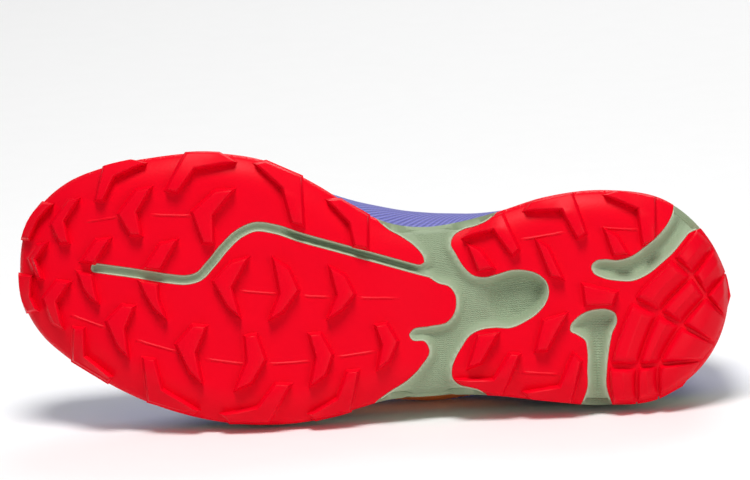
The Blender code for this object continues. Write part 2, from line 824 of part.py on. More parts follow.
def build_overlays():
    stations = stretch(0.68, 1, 1) + stretch(0.995, 0.68, -1)
    overlay("toe_cap", stations, toe_cap_edges, BUMPER)
    stations = stretch(0.30, 0, 1) + stretch(0.005, 0.30, -1)
    overlay("heel_counter", stations, heel_counter_edges, BUMPER)
    for name, side in (("eyestay_medial", 1), ("eyestay_lateral", -1)):
        strip = overlay(name, stretch(THROAT_WAY - 0.02, 0.82, side), eyestay_edges, INDIGO, 4)
        boolean(strip, "DIFFERENCE", bpy.data.objects["eyelet_holes"])
    overlay("quarter_lateral", stretch(0.31, 0.57, -1), quarter_edges, ORANGE)


# Eyelets and laces

def eyelet_ways():
    step = (LAST_EYELET_WAY - THROAT_WAY - 0.02) / (EYELET_PAIRS - 1)
    return [THROAT_WAY + 0.02 + step * k for k in range(EYELET_PAIRS)]


EYELET_RISE = 0.885


def build_eyelet_holes():
    depth = 4 * UPPER_WALL
    cylinders = []
    for way in eyelet_ways():
        for side in (1, -1):
            bm = bmesh.new()
            bmesh.ops.create_cone(
                bm, cap_ends=True, segments=6, radius1=EYELET_RADIUS, radius2=EYELET_RADIUS, depth=depth
            )
            normal = upper_normal(way, side, EYELET_RISE)
            turn = Vector((0, 0, 1)).rotation_difference(normal).to_matrix().to_4x4()
            bmesh.ops.transform(bm, verts=bm.verts, matrix=turn)
            bmesh.ops.translate(bm, verts=bm.verts, vec=upper_point(way, side, EYELET_RISE))
            cylinders.append(mesh_from(bm, "hole"))
    return add_object("eyelet_holes", joined("eyelet_holes", cylinders))


def lace_place(way, side, rise):
    """A point on the lace's middle line over the eyestay, and the way up there."""
    normal = upper_normal(way, side, rise)
    lift = OVERLAY_GAP + OVERLAY_THICKNESS + 2 * FIT_GAP + LACE_THICKNESS / 2
    return upper_point(way, side, rise) + normal * lift, normal


def lace_bar(name, way, next_way, side):
    """A flat bar from one eyelet over the throat to the next one on the other side."""
    drift = (next_way - way) * 0.12
    places = [
        lace_place(way, side, EYELET_RISE - 0.035),
        lace_place(way, side, EYELET_RISE + 0.035),
        lace_place(way + drift, side, 0.99),
        lace_place(next_way - drift, -side, 0.99),
        lace_place(next_way, -side, EYELET_RISE + 0.035),
        lace_place(next_way, -side, EYELET_RISE - 0.035),
    ]
    (near, near_up), (far, far_up) = places[2:4]
    middle_up = near_up.lerp(far_up, 0.5).normalized()
    places.insert(3, (near.lerp(far, 0.5) + middle_up * LACE_CROWN, middle_up))
    rings = []
    for point, up in places:
        across = (far - near).cross(up).normalized() * LACE_WIDTH / 2
        thick = up * LACE_THICKNESS / 2
        rings.append(
            [point - across - thick, point + across - thick, point + across + thick, point - across + thick]
        )
    return loft(name, rings)


def build_laces():
    ways = eyelet_ways()
    bars = {1: [], -1: []}
    for k, (way, next_way) in enumerate(zip(ways, ways[1:])):
        for side in (1, -1):
            bars[side * (-1) ** k].append(lace_bar("lace_bar", way, next_way, side))
    laces = add_object("laces", joined("laces", bars[1]), LACE_GREEN, 0.8)
    boolean(laces, "UNION", add_object("lace_crossing", joined("lace_crossing", bars[-1])))
    laces.modifiers[-1].use_self = True
    return laces


# The tongue and the insole

def build_tongue():
    """A padded strip under the throat, which follows the upper's inner face and stands up past it."""
    under = UPPER_WALL + FIT_GAP
    rings = []
    ways = [0.93, 0.87, 0.80, 0.73, 0.66, 0.60, 0.54, 0.48, 0.43]
    for way in ways:
        depth = under + (2 + 4 * max(0, (0.54 - way) / 0.11)) * FIT_GAP
        edges = {}
        for side in (1, -1):
            edges[side] = [
                upper_point(way, side, rise) - upper_normal(way, side, rise) * depth
                for rise in (0.76, 0.84, 0.92, 0.99)
            ]
        lift = TONGUE_CROWN - TONGUE_DIP * max(0, (way - 0.80) / 0.13)
        crown = (edges[1][-1] + edges[-1][-1]) / 2 + Vector((0.2, 0, 1)).normalized() * lift
        rings.append([*edges[-1], crown, *edges[1][::-1]])
    slope = (sum(rings[-1], Vector()) - sum(rings[-2], Vector())).normalized()
    last = rings[-1]
    middle = sum(last, Vector()) / len(last)
    for share, narrow in ((0.3, 0.84), (0.75, 0.78), (0.93, 0.66), (1.0, 0.46)):
        shift = slope * TONGUE_TOP * share
        rings.append([middle + (p - middle) * Vector((1, narrow, 1)) + shift for p in last])
    tongue = add_object("tongue", sheet("tongue", rings, closed=False), INDIGO, 0.85)
    solidify(tongue, TONGUE_THICKNESS, -1)
    return tongue


def build_insole():
    inset = CUP_INSET + 4 * FIT_GAP + UPPER_WALL
    rings = []
    for way in WAYS:
        shares = (0, 0.15, 0.5, 1)
        low = [(x, y, floor_height(x) + 1.5 * FIT_GAP) for x, y in chord(way, inset, shares)]
        high = []
        for k, (x, y) in enumerate(chord(way, inset + FIT_GAP, shares)):
            rim = max(0.0, 1 - min(k, len(low) - 1 - k) / 2)
            high.append((x, y, floor_height(x) + FIT_GAP + INSOLE_THICKNESS + INSOLE_RIM * rim))
        rings.append([*low, *high[::-1]])
    return add_object("insole", loft("insole", rings), CHARCOAL, 0.9)


# Laying the shoe down on its outer side

DENSITIES = {"outsole": 1150, "midsole": 230, "upper": 450}
OTHER_DENSITY = 500


def solid_points():
    """Every point of the shoe, and its centre of mass, while it stands upright."""
    points, weight, moment = [], 0.0, Vector()
    for obj in PARTS.objects:
        if obj.type != "MESH":
            continue
        bm = bmesh.new()
        bm.from_mesh(evaluated_mesh(obj))
        bmesh.ops.triangulate(bm, faces=bm.faces)
        density = DENSITIES.get(obj.name.split("_")[0], OTHER_DENSITY)
        for face in bm.faces:
            a, b, c = (vertex.co for vertex in face.verts)
            volume = a.dot(b.cross(c)) / 6
            weight += volume * density
            moment += (a + b + c) / 4 * volume * density
        points += [vertex.co.copy() for vertex in bm.verts]
        bm.free()
    return points, moment / weight


def lateral_rest(points, centre):
    """The outward normal of the hull face on the outer side that the centre of mass is over."""
    bm = bmesh.new()
    for point in points:
        bm.verts.new(point)
    bmesh.ops.convex_hull(bm, input=bm.verts)
    bmesh.ops.triangulate(bm, faces=bm.faces)
    bm.normal_update()
    best = None
    for face in bm.faces:
        normal = face.normal if (face.verts[0].co - centre).dot(face.normal) > 0 else -face.normal
        if normal.y > -0.8 or normal.z < 0.05:
            continue
        foot = centre + normal * (face.verts[0].co - centre).dot(normal)
        a, b, c = (vertex.co for vertex in face.verts)
        inside = min(
            ((q - p).cross(foot - p)).dot(face.normal) for p, q in ((a, b), (b, c), (c, a))
        )
        if best is None or inside > best[0]:
            best = (inside, normal.copy())
    bm.free()
    return best[1]


def lay_down():
    """Turns the shoe so that it lies on its outer side, sole to -Y and toe to -X, middle at the origin."""
    points, centre = solid_points()
    down = lateral_rest(points, centre)
    up = -down
    toe = Vector((1, 0, 0))
    toe = (toe - up * toe.dot(up)).normalized()
    across = toe.cross(up)
    turn = Matrix((-toe, -across, up))
    if turn.determinant() < 0:
        turn = Matrix((-toe, across, up))
    turned = [turn @ point for point in points]
    low = Vector([min(p[k] for p in turned) for k in range(3)])
    high = Vector([max(p[k] for p in turned) for k in range(3)])
    move = Vector((-(low.x + high.x) / 2, -(low.y + high.y) / 2, -low.z))
    SHOE.matrix_world = Matrix.Translation(move) @ turn.to_4x4()


# Colours from the photograph
RED = (0.85, 0.005, 0.015)
SAGE = (0.33, 0.40, 0.27)
VIOLET = (0.16, 0.17, 0.52)
INDIGO = (0.07, 0.08, 0.30)
BUMPER = (0.10, 0.11, 0.36)
ORANGE = (0.85, 0.24, 0.04)
CHARCOAL = (0.05, 0.05, 0.06)
LACE_GREEN = (0.33, 0.40, 0.27)

for old in list(bpy.data.objects):
    bpy.data.objects.remove(old)
PARTS = bpy.data.collections.new("trail_running_shoe")
CUTTERS = bpy.data.collections.new("cutters")
for group in (PARTS, CUTTERS):
    bpy.context.scene.collection.children.link(group)
SHOE = bpy.data.objects.new("shoe", None)
PARTS.objects.link(SHOE)

build_outsoles()
build_midsole()
build_eyelet_holes()
boolean(build_upper(), "DIFFERENCE", bpy.data.objects["eyelet_holes"])
build_overlays()
build_tongue()
build_insole()
build_laces()
lay_down()
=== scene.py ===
import math

import bmesh
import bpy
import numpy as np
from mathutils import Matrix, Vector
from mathutils.geometry import delaunay_2d_cdt
from mathutils.kdtree import KDTree


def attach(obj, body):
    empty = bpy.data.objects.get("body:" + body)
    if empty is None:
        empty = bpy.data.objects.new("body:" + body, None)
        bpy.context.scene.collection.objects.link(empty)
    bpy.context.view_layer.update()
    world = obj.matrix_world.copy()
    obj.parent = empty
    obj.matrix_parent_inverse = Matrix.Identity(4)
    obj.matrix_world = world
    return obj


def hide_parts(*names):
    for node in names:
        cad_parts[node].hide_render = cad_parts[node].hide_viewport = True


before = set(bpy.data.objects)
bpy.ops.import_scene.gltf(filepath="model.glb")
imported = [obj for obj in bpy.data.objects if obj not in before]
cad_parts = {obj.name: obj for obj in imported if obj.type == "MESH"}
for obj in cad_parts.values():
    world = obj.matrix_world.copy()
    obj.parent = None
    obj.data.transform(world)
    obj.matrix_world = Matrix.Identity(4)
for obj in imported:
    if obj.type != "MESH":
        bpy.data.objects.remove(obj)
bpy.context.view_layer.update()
print("frame loaded")

# Everything is shaped standing upright, heel at x = 0 and toe at +X, and then turned as the shoe lies
lying = {"toeUp": 2.5833, "soleUp": 11.0787, "middle": (0.149946, -0.049271, 0.051508)}  # degrees, metres


def restMatrix():
    # how the standing shoe is turned and moved to lie on its lateral side
    a, b = math.radians(lying["toeUp"]), math.radians(lying["soleUp"])
    toe = Vector((-math.cos(a), 0, math.sin(a)))
    medial = Vector((math.sin(a) * math.cos(b), math.sin(b), math.cos(a) * math.cos(b)))
    turn = Matrix((toe, medial, toe.cross(medial))).transposed()
    return Matrix.Translation(lying["middle"]) @ turn.to_4x4()


rest = restMatrix()

sole = {
    "length": 0.300,
    "ballWidth": 0.114,
    "gridLong": 714,  # squares of the plan's grid, as in the tables below
    "gridWide": 271,
    "lugHeight": 0.0045,
    "blockHeight": 0.0036,
    "rubber": 0.0028,
    "wrap": 0.0070,
    "toeWrap": 0.0090,
    "toeSpring": 0.018,
    "heelRise": 0.0050,
    "archRise": 0.0025,
    "edgeLift": 0.0055,
    "edgeBand": 0.016,
    "heelFoam": 0.0210,
    "ballFoam": 0.0115,
    "lipHeight": 0.0440,
    "lipThickness": 0.0034,
    "lipSetback": 0.0012,
    "rimBand": 0.0050,
    "rimStep": 0.0009,
    "roundOff": 0.0016,  # the rubber's rounded lower edge
    "edgeCurve": 2.4,
    "springCurve": 2.1,
    "toeWrapFrom": 0.75,  # share of the way round
    "springFrom": 0.64,  # from here on, shares of the length
    "heelTo": 0.12,
    "archAt": 0.40,
    "archReach": 0.07,
    "ballAt": 0.68,
    # places along the sole, and the foam's thickness there as a share of the heel's
    "floorShares": ((0, 0.25, 0.45, 0.68, 0.85, 1), (1, 1, 0.9, 0.55, 0.48, 0.44)),
    "floorSpring": 0.85,  # share of the spring that the foam's upper face has
}
fitGap = 0.0003
cupInset = sole["lipSetback"] + sole["lipThickness"]

# Outline of the sole from below: along, medial edge, lateral edge
soleStations = (
    (8, 30, -46), (28, 62, -78), (64, 90, -104), (124, 100, -115), (184, 93, -111), (232, 78, -106),
    (270, 68, -105), (305, 63, -107), (340, 67, -110), (376, 83, -120), (412, 105, -130),
    (460, 128, -135), (520, 137, -130), (580, 132, -113), (628, 122, -90), (664, 107, -67),
    (688, 87, -46), (704, 64, -21),
)
heelTip = (0, -6)
toeTip = (711, 22)

# Rear edge of the forefoot rubber, and the front edge of the heel rubber
forefootEdge = (
    (366, 98), (356, 76), (342, 61), (328, 53), (314, 43), (306, 33), (304, 18), (292, 7), (280, 3),
    (274, -5), (273, -13), (275, -23), (281, -31), (300, -36), (317, -40), (320, -45), (317, -50),
    (304, -52), (300, -59), (309, -77), (322, -90), (342, -103), (354, -113), (362, -130),
)

heelEdge = (
    (220, 95), (230, 80), (240, 70), (252, 64), (266, 60), (275, 54), (278, 47), (273, 36),
    (264, 22), (256, 15), (245, 13), (232, 16), (218, 20), (204, 20), (191, 16), (183, 9),
    (180, -2), (183, -13), (190, -22), (204, -32), (218, -38), (235, -38), (248, -40), (258, -45),
    (267, -57), (274, -70), (277, -80), (276, -88), (270, -94), (258, -97), (246, -101),
    (236, -114),
)

# Middle of the groove through the forefoot rubber, and the slots through the heel rubber
grooveLine = (
    (634, 22), (590, 16), (558, 11), (543, 10), (531, 13), (518, 26), (504, 43), (490, 56),
    (474, 63), (455, 61), (430, 53), (390, 42), (350, 31), (310, 20), (262, 8),
)
grooveWidth = 10

medialSlot = (
    (54, 94), (57, 76), (62, 66), (72, 54), (85, 43), (98, 34), (112, 30), (125, 31), (134, 29),
    (138, 24), (136, 17), (127, 12), (112, 9), (96, 9), (82, 15), (68, 26), (55, 38), (46, 49),
    (39, 57), (32, 60), (14, 66),
)

lateralSlot = (
    (111, -124), (118, -110), (122, -98), (122, -78), (120, -60), (117, -44), (112, -30),
    (114, -23), (122, -19), (133, -19), (144, -22), (153, -28), (159, -36), (159, -41), (152, -45),
    (144, -51), (142, -60), (142, -80), (142, -98), (146, -110), (152, -124),
)

# Lugs as corner pairs, front and back: at one arm's end, at the bend, at the other arm's end
forefootLugs = (
    ((688, 87), (677, 86), (703, 75), (692, 70), (710, 52), (701, 50)),
    ((693, 45), (682, 48), (703, 32), (694, 31), (693, 11), (687, 11)),
    ((661, 90), (650, 92), (679, 66), (665, 69), (670, 47), (660, 47)),
    ((599, 132), (583, 127), (626, 125), (615, 113), (634, 90), (626, 89)),
    ((593, 100), (577, 103), (611, 76), (592, 78), (599, 55), (587, 54)),
    ((510, 138), (493, 128), (543, 138), (534, 121), (563, 100), (552, 97)),
    ((514, 99), (494, 101), (537, 78), (516, 75), (526, 47), (515, 46)),
    ((633, 50), (618, 52), (648, 29), (635, 27)), ((569, 46), (551, 51), (585, 22), (569, 20)),
    ((463, 128), (474, 126), (428, 113), (447, 102), (425, 64), (437, 67)),
    ((388, 91), (402, 90), (361, 74), (380, 67), (361, 41), (375, 44)),
    ((713, 15), (698, 14), (713, -7), (699, -7), (704, -22), (692, -21)),
    ((673, 9), (659, 8), (687, -8), (673, -12), (677, -33), (666, -39)),
    ((652, 18), (637, 15), (646, 1), (634, -1), (640, -7), (630, -14)),
    ((656, -38), (645, -38), (657, -71), (644, -66), (622, -92), (617, -87)),
    ((607, -15), (594, -16), (623, -31), (604, -38), (612, -56), (600, -68)),
    ((586, -68), (574, -69), (581, -111), (566, -99), (536, -124), (530, -120)),
    ((590, 9), (571, 6), (583, -6), (570, -9), (576, -18), (562, -30)),
    ((498, 28), (480, 33), (516, 9), (497, 3), (502, -16), (488, -28)),
    ((536, -35), (522, -36), (553, -54), (533, -62), (540, -81), (526, -94)),
    ((440, 22), (456, 32), (430, 0), (449, -3), (446, -22), (460, -30)),
    ((384, 15), (400, 24), (374, -4), (392, -5), (387, -20), (402, -29)),
    ((472, -44), (484, -46), (463, -69), (482, -71), (477, -93), (494, -100)),
    ((408, -43), (420, -44), (396, -64), (413, -67), (403, -85), (419, -96)),
    ((342, -33), (354, -35), (331, -51), (347, -55), (339, -70), (352, -80)),
    ((438, -94), (453, -93), (460, -132), (472, -117), (499, -132), (508, -124)),
    ((370, -80), (382, -81), (379, -121), (392, -108), (413, -129), (420, -124)),
)

heelLugs = (
    ((256, 66), (267, 52), (227, 77), (236, 60), (210, 41), (217, 34)),
    ((249, 40), (262, 46), (235, 22), (251, 19)),
    ((198, 88), (205, 79), (157, 97), (168, 80), (143, 57), (152, 51)),
    ((181, 43), (194, 51), (166, 11), (179, 14)),
    ((109, 100), (125, 95), (74, 93), (92, 81), (74, 50), (87, 45)),
    ((112, 54), (126, 62), (101, 36), (116, 35)), ((112, -2), (147, 6), (117, -15), (144, -15)),
    ((162, -23), (186, -30), (182, -60), (194, -61)),
    ((230, -42), (251, -45), (248, -73), (261, -78)),
    ((209, -64), (219, -63), (227, -106), (236, -89), (266, -97), (274, -89)),
    ((148, -71), (156, -63), (158, -113), (170, -96), (197, -111), (206, -102)),
)

# Corners of the blocks round the heel, from the inner edge to the outside
heelBlocks = (
    ((32, 62), (14, 43), (2, 18), (-3, -6)), ((57, 32), (37, 14), (23, -6), (3, -28)),
    ((97, -10), (70, -23), (48, -35), (13, -54)), ((120, -76), (91, -76), (70, -74), (25, -70)),
    ((117, -116), (92, -115), (70, -110), (46, -97)),
)

# Way round each side from heel to toe, medial and lateral height of the midsole's lip
lipRows = (
    (0.00, 1.00, 1.00),
    (0.12, 0.92, 0.92),
    (0.27, 0.88, 0.86),
    (0.42, 0.92, 0.80),
    (0.56, 0.72, 0.68),
    (0.70, 0.60, 0.60),
    (0.82, 0.62, 0.62),
    (0.92, 0.82, 0.82),
    (1.00, 0.98, 0.98),
)

# way, along, across, up, lean, wallReach, dip, topReach of the upper's sides
medialRows = (
    (0.00, 0.048, 0.00, 1.00, 12, 0.40, 76, 0.30),
    (0.10, 0.070, 0.15, 0.96, 12, 0.40, 80, 0.30),
    (0.20, 0.165, 0.26, 0.83, 14, 0.40, 84, 0.30),
    (0.28, 0.255, 0.28, 0.785, 20, 0.42, 84, 0.30),
    (0.35, 0.325, 0.25, 0.86, 27, 0.44, 72, 0.30),
    (0.41, 0.380, 0.19, 0.985, 33, 0.47, 52, 0.36),
    (0.48, 0.450, 0.165, 0.955, 35, 0.48, 42, 0.38),
    (0.57, 0.545, 0.150, 0.870, 18, 0.42, 34, 0.38),
    (0.66, 0.625, 0.135, 0.790, 0, 0.36, 28, 0.38),
    (0.74, 0.680, 0.110, 0.740, -4, 0.32, 22, 0.40),
    (0.82, 0.705, 0.070, 0.712, -6, 0.26, 16, 0.44),
    (0.91, 0.715, 0.035, 0.700, -8, 0.22, 11, 0.46),
    (1.00, 0.719, 0.00, 0.695, -8, 0.22, 9, 0.46),
)

lateralRows = (
    (0.00, 0.048, 0.00, 1.00, 12, 0.40, 76, 0.30),
    (0.10, 0.070, -0.15, 0.95, 4, 0.40, 80, 0.30),
    (0.20, 0.165, -0.27, 0.80, -4, 0.40, 82, 0.30),
    (0.28, 0.255, -0.30, 0.745, 4, 0.44, 82, 0.30),
    (0.35, 0.325, -0.27, 0.83, 22, 0.48, 74, 0.30),
    (0.41, 0.380, -0.21, 0.965, 29, 0.48, 56, 0.36),
    (0.48, 0.450, -0.185, 0.935, 21, 0.44, 46, 0.38),
    (0.57, 0.545, -0.165, 0.855, 0, 0.37, 38, 0.38),
    (0.66, 0.625, -0.145, 0.780, -10, 0.34, 31, 0.38),
    (0.74, 0.680, -0.115, 0.735, -10, 0.30, 24, 0.40),
    (0.82, 0.705, -0.070, 0.710, -8, 0.26, 17, 0.44),
    (0.91, 0.715, -0.035, 0.700, -8, 0.22, 11, 0.46),
    (1.00, 0.719, 0.00, 0.695, -8, 0.22, 9, 0.46),
)
throatWay = 0.41
rimCount = 700  # points on each side of the outline


# Smooth curves and the sole's plan
def eased(share):
    return share * share * (3 - 2 * share)


def curveValue(keys, values, at):
    # a smooth curve through the values, read at any place
    keys, values = np.asarray(keys, float), np.asarray(values, float)
    slopes = np.gradient(values, keys)
    left = np.clip(np.searchsorted(keys, at, side="right") - 1, 0, len(keys) - 2)
    step = keys[left + 1] - keys[left]
    f = np.clip((at - keys[left]) / step, 0, 1)
    return (
        (1 + 2 * f) * (1 - f) ** 2 * values[left]
        + f * (1 - f) ** 2 * step * slopes[left]
        + eased(f) * values[left + 1]
        + f * f * (f - 1) * step * slopes[left + 1]
    )


def unit(vectors):
    return vectors / np.linalg.norm(vectors, axis=-1)[..., None]


def fullTurn(count):
    return np.linspace(0, 2 * math.pi, count, endpoint=False)


def runAlong(points):
    # the distance run at each point of a line
    return np.concatenate([[0], np.cumsum(np.linalg.norm(np.diff(points, axis=0), axis=1))])


def atRun(at, run, points):
    return np.column_stack([np.interp(at, run, column) for column in points.T])


def smoothLine(points, count, closed=False):
    # an evenly spaced smooth line through the points
    points = np.asarray(points, float)
    if closed:
        points = np.vstack([points[-3:], points, points[:4]])
    way = runAlong(points)
    first, last = (way[3], way[-4]) if closed else (way[0], way[-1])
    at = np.linspace(first, last, 12 * count)
    fine = np.column_stack([curveValue(way, column, at) for column in points.T])
    run = runAlong(fine)
    return atRun(np.linspace(0, run[-1], count, endpoint=not closed), run, fine)


def onPlan(points):
    # from squares of the plan's grid to metres
    size = (sole["length"] / sole["gridLong"], sole["ballWidth"] / sole["gridWide"])
    return np.asarray(points, float) * size


def sideLines():
    # the outline's medial and lateral halves, each from heel to toe
    stations = np.array(soleStations, float)
    medial, lateral = stations[:, [0, 1]], stations[::-1][:, [0, 2]]
    ring = smoothLine(onPlan(np.vstack([heelTip, medial, toeTip, lateral])), 2 * rimCount, closed=True)
    toe = int(np.argmin(np.linalg.norm(ring - onPlan(toeTip), axis=1)))
    halves = (ring[: toe + 1], np.vstack([ring[toe:], ring[:1]])[::-1])
    return [smoothLine(half, rimCount) for half in halves]


def sideways(line):
    # unit vectors across a line, to its left
    along = np.gradient(line, axis=0)
    return unit(np.column_stack([-along[:, 1], along[:, 0]]))


def lineNormals(line, outward):
    normal = sideways(line) * outward
    normal[0], normal[-1] = (-1, 0), (1, 0)
    return normal


rimLines = dict(zip((1, -1), sideLines()))  # 1 is the medial side, -1 the lateral
rimNormals = {side: lineNormals(line, side) for side, line in rimLines.items()}
rim = np.vstack([rimLines[1], rimLines[-1][::-1]])
rimOut = np.vstack([rimNormals[1], rimNormals[-1][::-1]])
rimWay = np.concatenate([np.linspace(0, 1, rimCount), np.linspace(1, 0, rimCount)])


def rimPoints(ways, side, inset=0.0):
    # points on one side of the outline, moved inwards
    place, steps = np.asarray(ways, float) * (rimCount - 1), np.arange(rimCount)
    out = unit(atRun(place, steps, rimNormals[side]))
    return atRun(place, steps, rimLines[side]) - np.asarray(inset).reshape(-1, 1) * out


def nearRim(xy):
    # how far inside the outline each point is, and the way round at the nearest rim point
    xy = np.asarray(xy, float).reshape(-1, 2)
    depth, way = np.empty(len(xy)), np.empty(len(xy))
    for start in range(0, len(xy), 3000):
        gap = xy[start : start + 3000, None, :] - rim[None]
        near = (gap**2).sum(axis=2).argmin(axis=1)
        pick = gap[np.arange(len(near)), near]
        depth[start : start + 3000] = -(pick * rimOut[near]).sum(axis=1)
        way[start : start + 3000] = rimWay[near]
    return depth, way


def spring(x):
    # the underside's rise at the toe, the heel and the arch
    share = x / sole["length"]
    toe = np.maximum(0, (share - sole["springFrom"]) / (1 - sole["springFrom"])) ** sole["springCurve"]
    heel = np.maximum(0, (sole["heelTo"] - share) / sole["heelTo"]) ** 2
    arch = np.exp(-(((share - sole["archAt"]) / sole["archReach"]) ** 2))
    return toe * sole["toeSpring"] + heel * sole["heelRise"] + arch * sole["archRise"]


def rubberFace(xy, rounded=False):
    # height of the rubber's underside between the lugs
    xy = np.asarray(xy, float).reshape(-1, 2)
    depth = nearRim(xy)[0]
    edge = np.clip(1 - depth / sole["edgeBand"], 0, 1) ** sole["edgeCurve"] * sole["edgeLift"]
    z = sole["lugHeight"] + spring(xy[:, 0]) + edge
    if rounded:
        r = sole["roundOff"]
        z = z + r - np.sqrt(np.maximum(0, r * r - np.clip(r - depth, 0, r) ** 2))
    return z


def floorHeight(x):
    # height of the midsole's upper face, inside the cup
    share = np.clip(x / sole["length"], 0, 1)
    foam = curveValue(*sole["floorShares"], share) * sole["heelFoam"]
    ballShare = dict(zip(*sole["floorShares"]))[sole["ballAt"]]
    ball = sole["ballFoam"] - ballShare * sole["heelFoam"]
    foam = foam + ball * np.minimum(1, share / sole["ballAt"])
    return sole["lugHeight"] + sole["rubber"] + sole["floorSpring"] * spring(x) + foam


def lipTop(ways, side):
    # height of the midsole's lip
    rows = np.array(lipRows)
    return curveValue(rows[:, 0], rows[:, 1 if side > 0 else 2], ways) * sole["lipHeight"]


def wrapHeight(ways):
    # how far the rubber wraps up the side, a little more at the toe
    share = np.maximum(0, (ways - sole["toeWrapFrom"]) / (1 - sole["toeWrapFrom"]))
    return sole["wrap"] + (sole["toeWrap"] - sole["wrap"]) * share


def waysOf(count):
    # even steps from heel to toe, closer together at both ends
    k = np.arange(count + 1) / count
    return k - 0.08 * np.sin(2 * math.pi * k)


def inside(polygon, xy):
    # even-odd test of many points against one closed outline
    x, y = xy[:, 0], xy[:, 1]
    hit = np.zeros(len(xy), bool)
    for (x1, y1), (x2, y2) in zip(polygon, np.roll(polygon, -1, axis=0)):
        if y1 == y2:
            continue
        crosses = (y1 > y) != (y2 > y)
        hit ^= crosses & (x < (x2 - x1) * (y - y1) / (y2 - y1) + x1)
    return hit


# Meshes and pieces
def placed(name, data):
    obj = bpy.data.objects.new(name, data)
    bpy.context.scene.collection.objects.link(obj)
    return obj


def pieceFrom(name, mesh, finishNames, sharpAngle=None, replaced=()):
    mesh.transform(rest)
    mesh.update()
    obj = placed(name, mesh)
    for finish in finishNames:
        mesh.materials.append(paint[finish])
    mesh.shade_smooth()
    if sharpAngle:
        mesh.set_sharp_from_angle(angle=math.radians(sharpAngle))
    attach(obj, "root")
    if replaced:
        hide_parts(*replaced)
    return obj


def gridData(points, wrapRows=False, wrapColumns=False):
    # quads over a grid of points, with a UV in metres for each corner
    rows, columns = points.shape[:2]
    rowStep = np.linalg.norm(np.roll(points, -1, axis=0) - points, axis=2).mean(axis=1)
    columnStep = np.linalg.norm(np.roll(points, -1, axis=1) - points, axis=2).mean(axis=0)
    u = np.concatenate([[0], np.cumsum(rowStep)])
    v = np.concatenate([[0], np.cumsum(columnStep)])
    faces, uvs = [], []
    for i in range(rows if wrapRows else rows - 1):
        for j in range(columns if wrapColumns else columns - 1):
            i2, j2 = (i + 1) % rows, (j + 1) % columns
            faces.append((i * columns + j, i * columns + j2, i2 * columns + j2, i2 * columns + j))
            uvs += [(u[i], v[j]), (u[i], v[j + 1]), (u[i + 1], v[j + 1]), (u[i + 1], v[j])]
    return points.reshape(-1, 3), faces, uvs


def gridMesh(name, points, wrapRows=False, wrapColumns=False, caps=False, inner=None):
    verts, faces, uvs = gridData(points, wrapRows, wrapColumns)
    mesh = bpy.data.meshes.new(name)
    mesh.from_pydata(verts.tolist(), [], faces)
    layer = mesh.uv_layers.new(name="surface")
    layer.uv.foreach_set("vector", np.array(uvs, float).ravel())
    if inner is not None:  # columns from here on get the second material
        columns = points.shape[1]
        for face in mesh.polygons:
            face.material_index = int(min(v % columns for v in face.vertices) >= inner)
    bm = bmesh.new()
    bm.from_mesh(mesh)
    bmesh.ops.remove_doubles(bm, verts=bm.verts, dist=1e-6)
    if caps:
        bmesh.ops.holes_fill(bm, edges=[e for e in bm.edges if e.is_boundary], sides=0)
    bmesh.ops.recalc_face_normals(bm, faces=bm.faces)
    bm.to_mesh(mesh)
    bm.free()
    return mesh


def meshOf(name, bm):
    mesh = bpy.data.meshes.new(name)
    bm.to_mesh(mesh)
    bm.free()
    return mesh


def ringFaces(levels, count, base=0):
    # quads between rings of points that follow one another
    starts = range(base, base + count * (levels - 1), count)
    turns = [(k, (k + 1) % count) for k in range(count)]
    return [(a + k, a + n, a + count + n, a + count + k) for a in starts for k, n in turns]


def mergedMesh(name, meshes):
    bm = bmesh.new()
    for mesh in meshes:
        bm.from_mesh(mesh)
    return meshOf(name, bm)


# Node groups and materials
def addNode(tree, kind, inputs=None, **settings):
    # a node with its settings; each input is given as a value or as another node's output
    node = tree.nodes.new("ShaderNode" + kind)
    for key, value in settings.items():
        setattr(node, key, value)
    for key, value in (inputs or {}).items():
        if isinstance(value, bpy.types.NodeSocket):
            tree.links.new(value, node.inputs[key])
        else:
            node.inputs[key].default_value = value
    return node


def operate(tree, kind, *values):
    return addNode(tree, "Math", dict(enumerate(values)), operation=kind).outputs[0]


def newGroup(name, inputs, outputs):
    group = bpy.data.node_groups.new(name, "ShaderNodeTree")
    for way, labels in (("INPUT", inputs), ("OUTPUT", outputs)):
        for label in labels:
            kind = "NodeSocketColor" if label == "Color" else "NodeSocketFloat"
            socket = group.interface.new_socket(name=label, in_out=way, socket_type=kind)
            if way == "INPUT" and inputs[label] is not None:
                socket.default_value = inputs[label]
    start, end = (group.nodes.new(kind) for kind in ("NodeGroupInput", "NodeGroupOutput"))
    return group, start.outputs, end.inputs


def speckleGroup():
    # colour that drifts a little, and fine grain for the bump
    group, given, out = newGroup(
        "speckle", {"Color": None, "Drift": 0.08, "Drift Scale": 60, "Grain Scale": 900}, ("Color", "Height")
    )
    place = addNode(group, "TexCoord").outputs["Object"]
    wide = addNode(group, "TexNoise", {"Vector": place, "Scale": given["Drift Scale"]})
    grain = addNode(group, "TexNoise", {"Vector": place, "Scale": given["Grain Scale"], "Detail": 3})
    spread = addNode(group, "MapRange", {"Value": wide.outputs["Fac"], "To Min": -1})
    amount = operate(group, "MULTIPLY_ADD", spread.outputs["Result"], given["Drift"], 1)
    tint = addNode(group, "VectorMath", operation="SCALE")
    group.links.new(given["Color"], tint.inputs[0])
    group.links.new(amount, tint.inputs["Scale"])
    group.links.new(tint.outputs[0], out["Color"])
    group.links.new(grain.outputs["Fac"], out["Height"])
    return group


